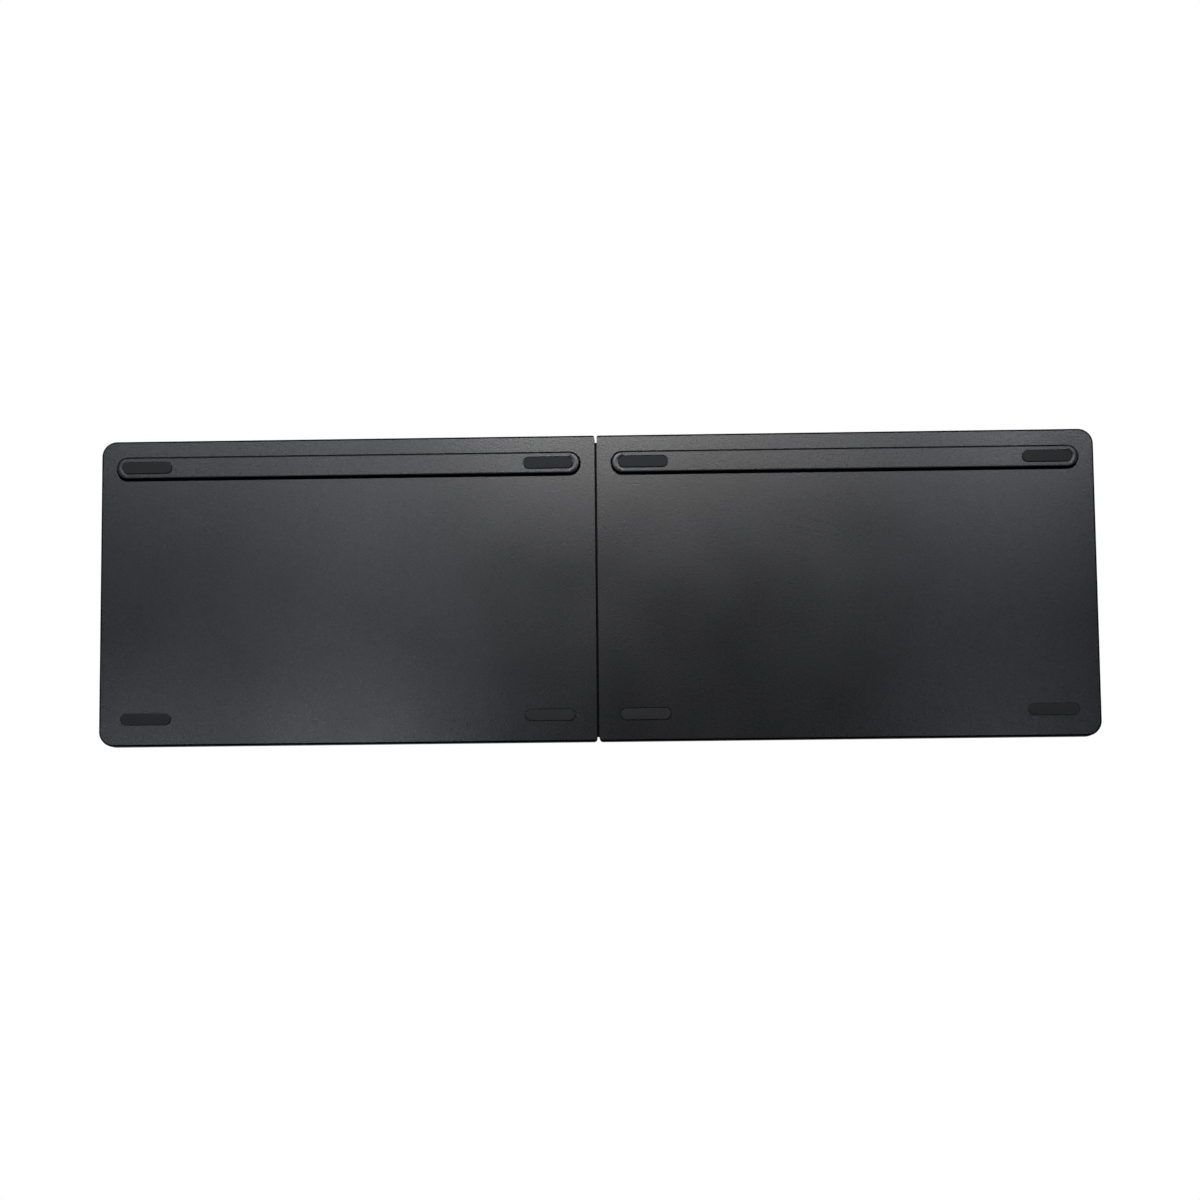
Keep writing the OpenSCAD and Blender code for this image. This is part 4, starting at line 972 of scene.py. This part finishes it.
def cap_form(w, d, homing):
    form = bmesh.new()
    half_w, half_d = w / 2, d / 2
    depth = WIDE_DISH if w > WIDE_CAP else DISH
    cavity = [(CAP_WALL, CAP_HEIGHT - CAP_TOP), (CAP_WALL, 0.0)]
    loops = [rounded_loop(form, half_w - inset, half_d - inset, LEAST_CORNER, z) for inset, z in cavity]
    ceiling = loops[0]
    for inset, z in cap_profile():
        radius = max(CAP_CORNER - inset, LEAST_CORNER)
        loops.append(rounded_loop(form, half_w - inset, half_d - inset, radius, z))
    rim_w, rim_d = half_w - CAP_LEAN - CAP_EDGE, half_d - CAP_LEAN - CAP_EDGE
    rim_corner = CAP_CORNER - CAP_LEAN - CAP_EDGE
    for share in DISH_RINGS:
        loop = rounded_loop(form, rim_w * share, rim_d * share, rim_corner * share, 0)
        for vert in loop:
            vert.co.z = dish_height(vert.co.x, vert.co.y, rim_w, rim_d, depth)
        loops.append(loop)
    skin(form, loops)
    middle = form.verts.new((0, 0, CAP_HEIGHT - depth))
    last = loops[-1]
    for i in range(len(last)):
        form.faces.new((last[i], last[(i + 1) % len(last)], middle))
    form.faces.new(list(reversed(ceiling)))
    for scissor_x in (-SPACE_KEY_SCISSORS, SPACE_KEY_SCISSORS) if w > WIDE_CAP else (0.0,):
        add_lugs(form, scissor_x)
    if homing:
        block(form, (-BAR_REACH, BAR_FRONT - half_d, CAP_HEIGHT - BAR_SINK),
              (BAR_REACH, BAR_REAR - half_d, CAP_HEIGHT + BAR_RISE))
    return form, (rim_w, rim_d, depth)


def drop_ink(form, mesh, y, shape):
    first = len(form.verts)
    first_face = len(form.faces)
    form.from_mesh(mesh)
    form.verts.ensure_lookup_table()
    form.faces.ensure_lookup_table()
    for vert in form.verts[first:]:
        vert.co.y += y
        vert.co.z += dish_height(vert.co.x, vert.co.y, *shape)
    for face in form.faces[first_face:]:
        face.material_index = CAP_FINISHES.index(legend_ink)


ARROW_OUTLINE = [(-0.9, -0.75), (0.9, -0.75), (0.0, 0.85)]


def arrow_mesh(quarters):
    form = bmesh.new()
    below, above = [[form.verts.new((x, y, z)) for x, y in ARROW_OUTLINE] for z in (-INK, INK)]
    form.faces.new(list(reversed(below)))
    form.faces.new(above)
    for i in range(len(ARROW_OUTLINE)):
        j = (i + 1) % len(ARROW_OUTLINE)
        form.faces.new((below[i], below[j], above[j], above[i]))
    bmesh.ops.rotate(form, verts=form.verts, matrix=Matrix.Rotation(math.radians(90 * quarters), 3, "Z"))
    mesh = bpy.data.meshes.new("arrow")
    form.to_mesh(mesh)
    form.free()
    return mesh


LEGENDS = {
    "left_number_keys": ["Esc", "1 !", "2 @", "3 #", "4 $", "5 %", "6 ^"],
    "left_modifier_keys": ["Tab", "Caps", "Shift", "Ctrl", "Fn", "Menu", "Alt"],
    "right_number_keys": ["7 &", "8 *", "9 (", "0 )", "- _", "= +", "Back"],
    "right_punctuation_keys": ["[ {", "] }", "; :", "' \"", ", <", ". >", "/ ?"],
    "right_modifier_keys": ["Enter", "up", "Shift", "Alt", "Ctrl", "left", "down", "right"],
    "left_space_key": [""],
    "right_space_key": [""],
}
ARROWS = {"up": 0, "left": 1, "down": 2, "right": 3}
# Size of the writing, and how far behind the cap's middle it stands
LETTER, WORD, UPPER_SIGN, LOWER_SIGN = (4.2, 0.3), (2.7, 0), (2.9, 2.2), (3.3, -2.3)


def write_legend(form, legend, shape):
    if legend in ARROWS:
        drop_ink(form, arrow_mesh(ARROWS[legend]), 0, shape)
    elif len(legend) == 3 and legend[1] == " ":
        for sign, (size, y) in ((legend[2], UPPER_SIGN), (legend[0], LOWER_SIGN)):
            drop_ink(form, ink_text(sign, size), y, shape)
    elif legend:
        size, y = LETTER if len(legend) == 1 else WORD
        drop_ink(form, ink_text(legend, size), y, shape)


SKIRT_FOOT = 3.7
cap_plastic = moulded_plastic(
    "cap_plastic", dark=(0.0095, 0.0096, 0.0106), light=(0.014, 0.0142, 0.0157),
    roughness=0.42, grain_mm=0.3, depth_mm=0.003, shine=0.3,
)
CAP_FINISHES = [cap_plastic, legend_ink]
for body, places in CAP_PLACES.items():
    node = frame["record"]["behaviour"]["bodies"][body][0]
    whole = bmesh.new()
    letters = LEGENDS.get(node, [node[-1].upper()])
    for legend, (lows, highs) in zip(letters, places):
        form, shape = cap_form(highs[0] - lows[0], highs[1] - lows[1], legend in ("F", "J"))
        bmesh.ops.recalc_face_normals(form, faces=form.faces)
        write_legend(form, legend, shape)
        middle = Vector(((lows[0] + highs[0]) / 2, (lows[1] + highs[1]) / 2, SKIRT_FOOT))
        bmesh.ops.transform(form, verts=form.verts, matrix=from_mm @ Matrix.Translation(middle))
        part = bpy.data.meshes.new("part")
        form.to_mesh(part)
        form.free()
        whole.from_mesh(part)
        bpy.data.meshes.remove(part)
    mesh = bpy.data.meshes.new(f"cap_{node}")
    finish_piece(whole, mesh, body, CAP_FINISHES, node, INK_SHARP)
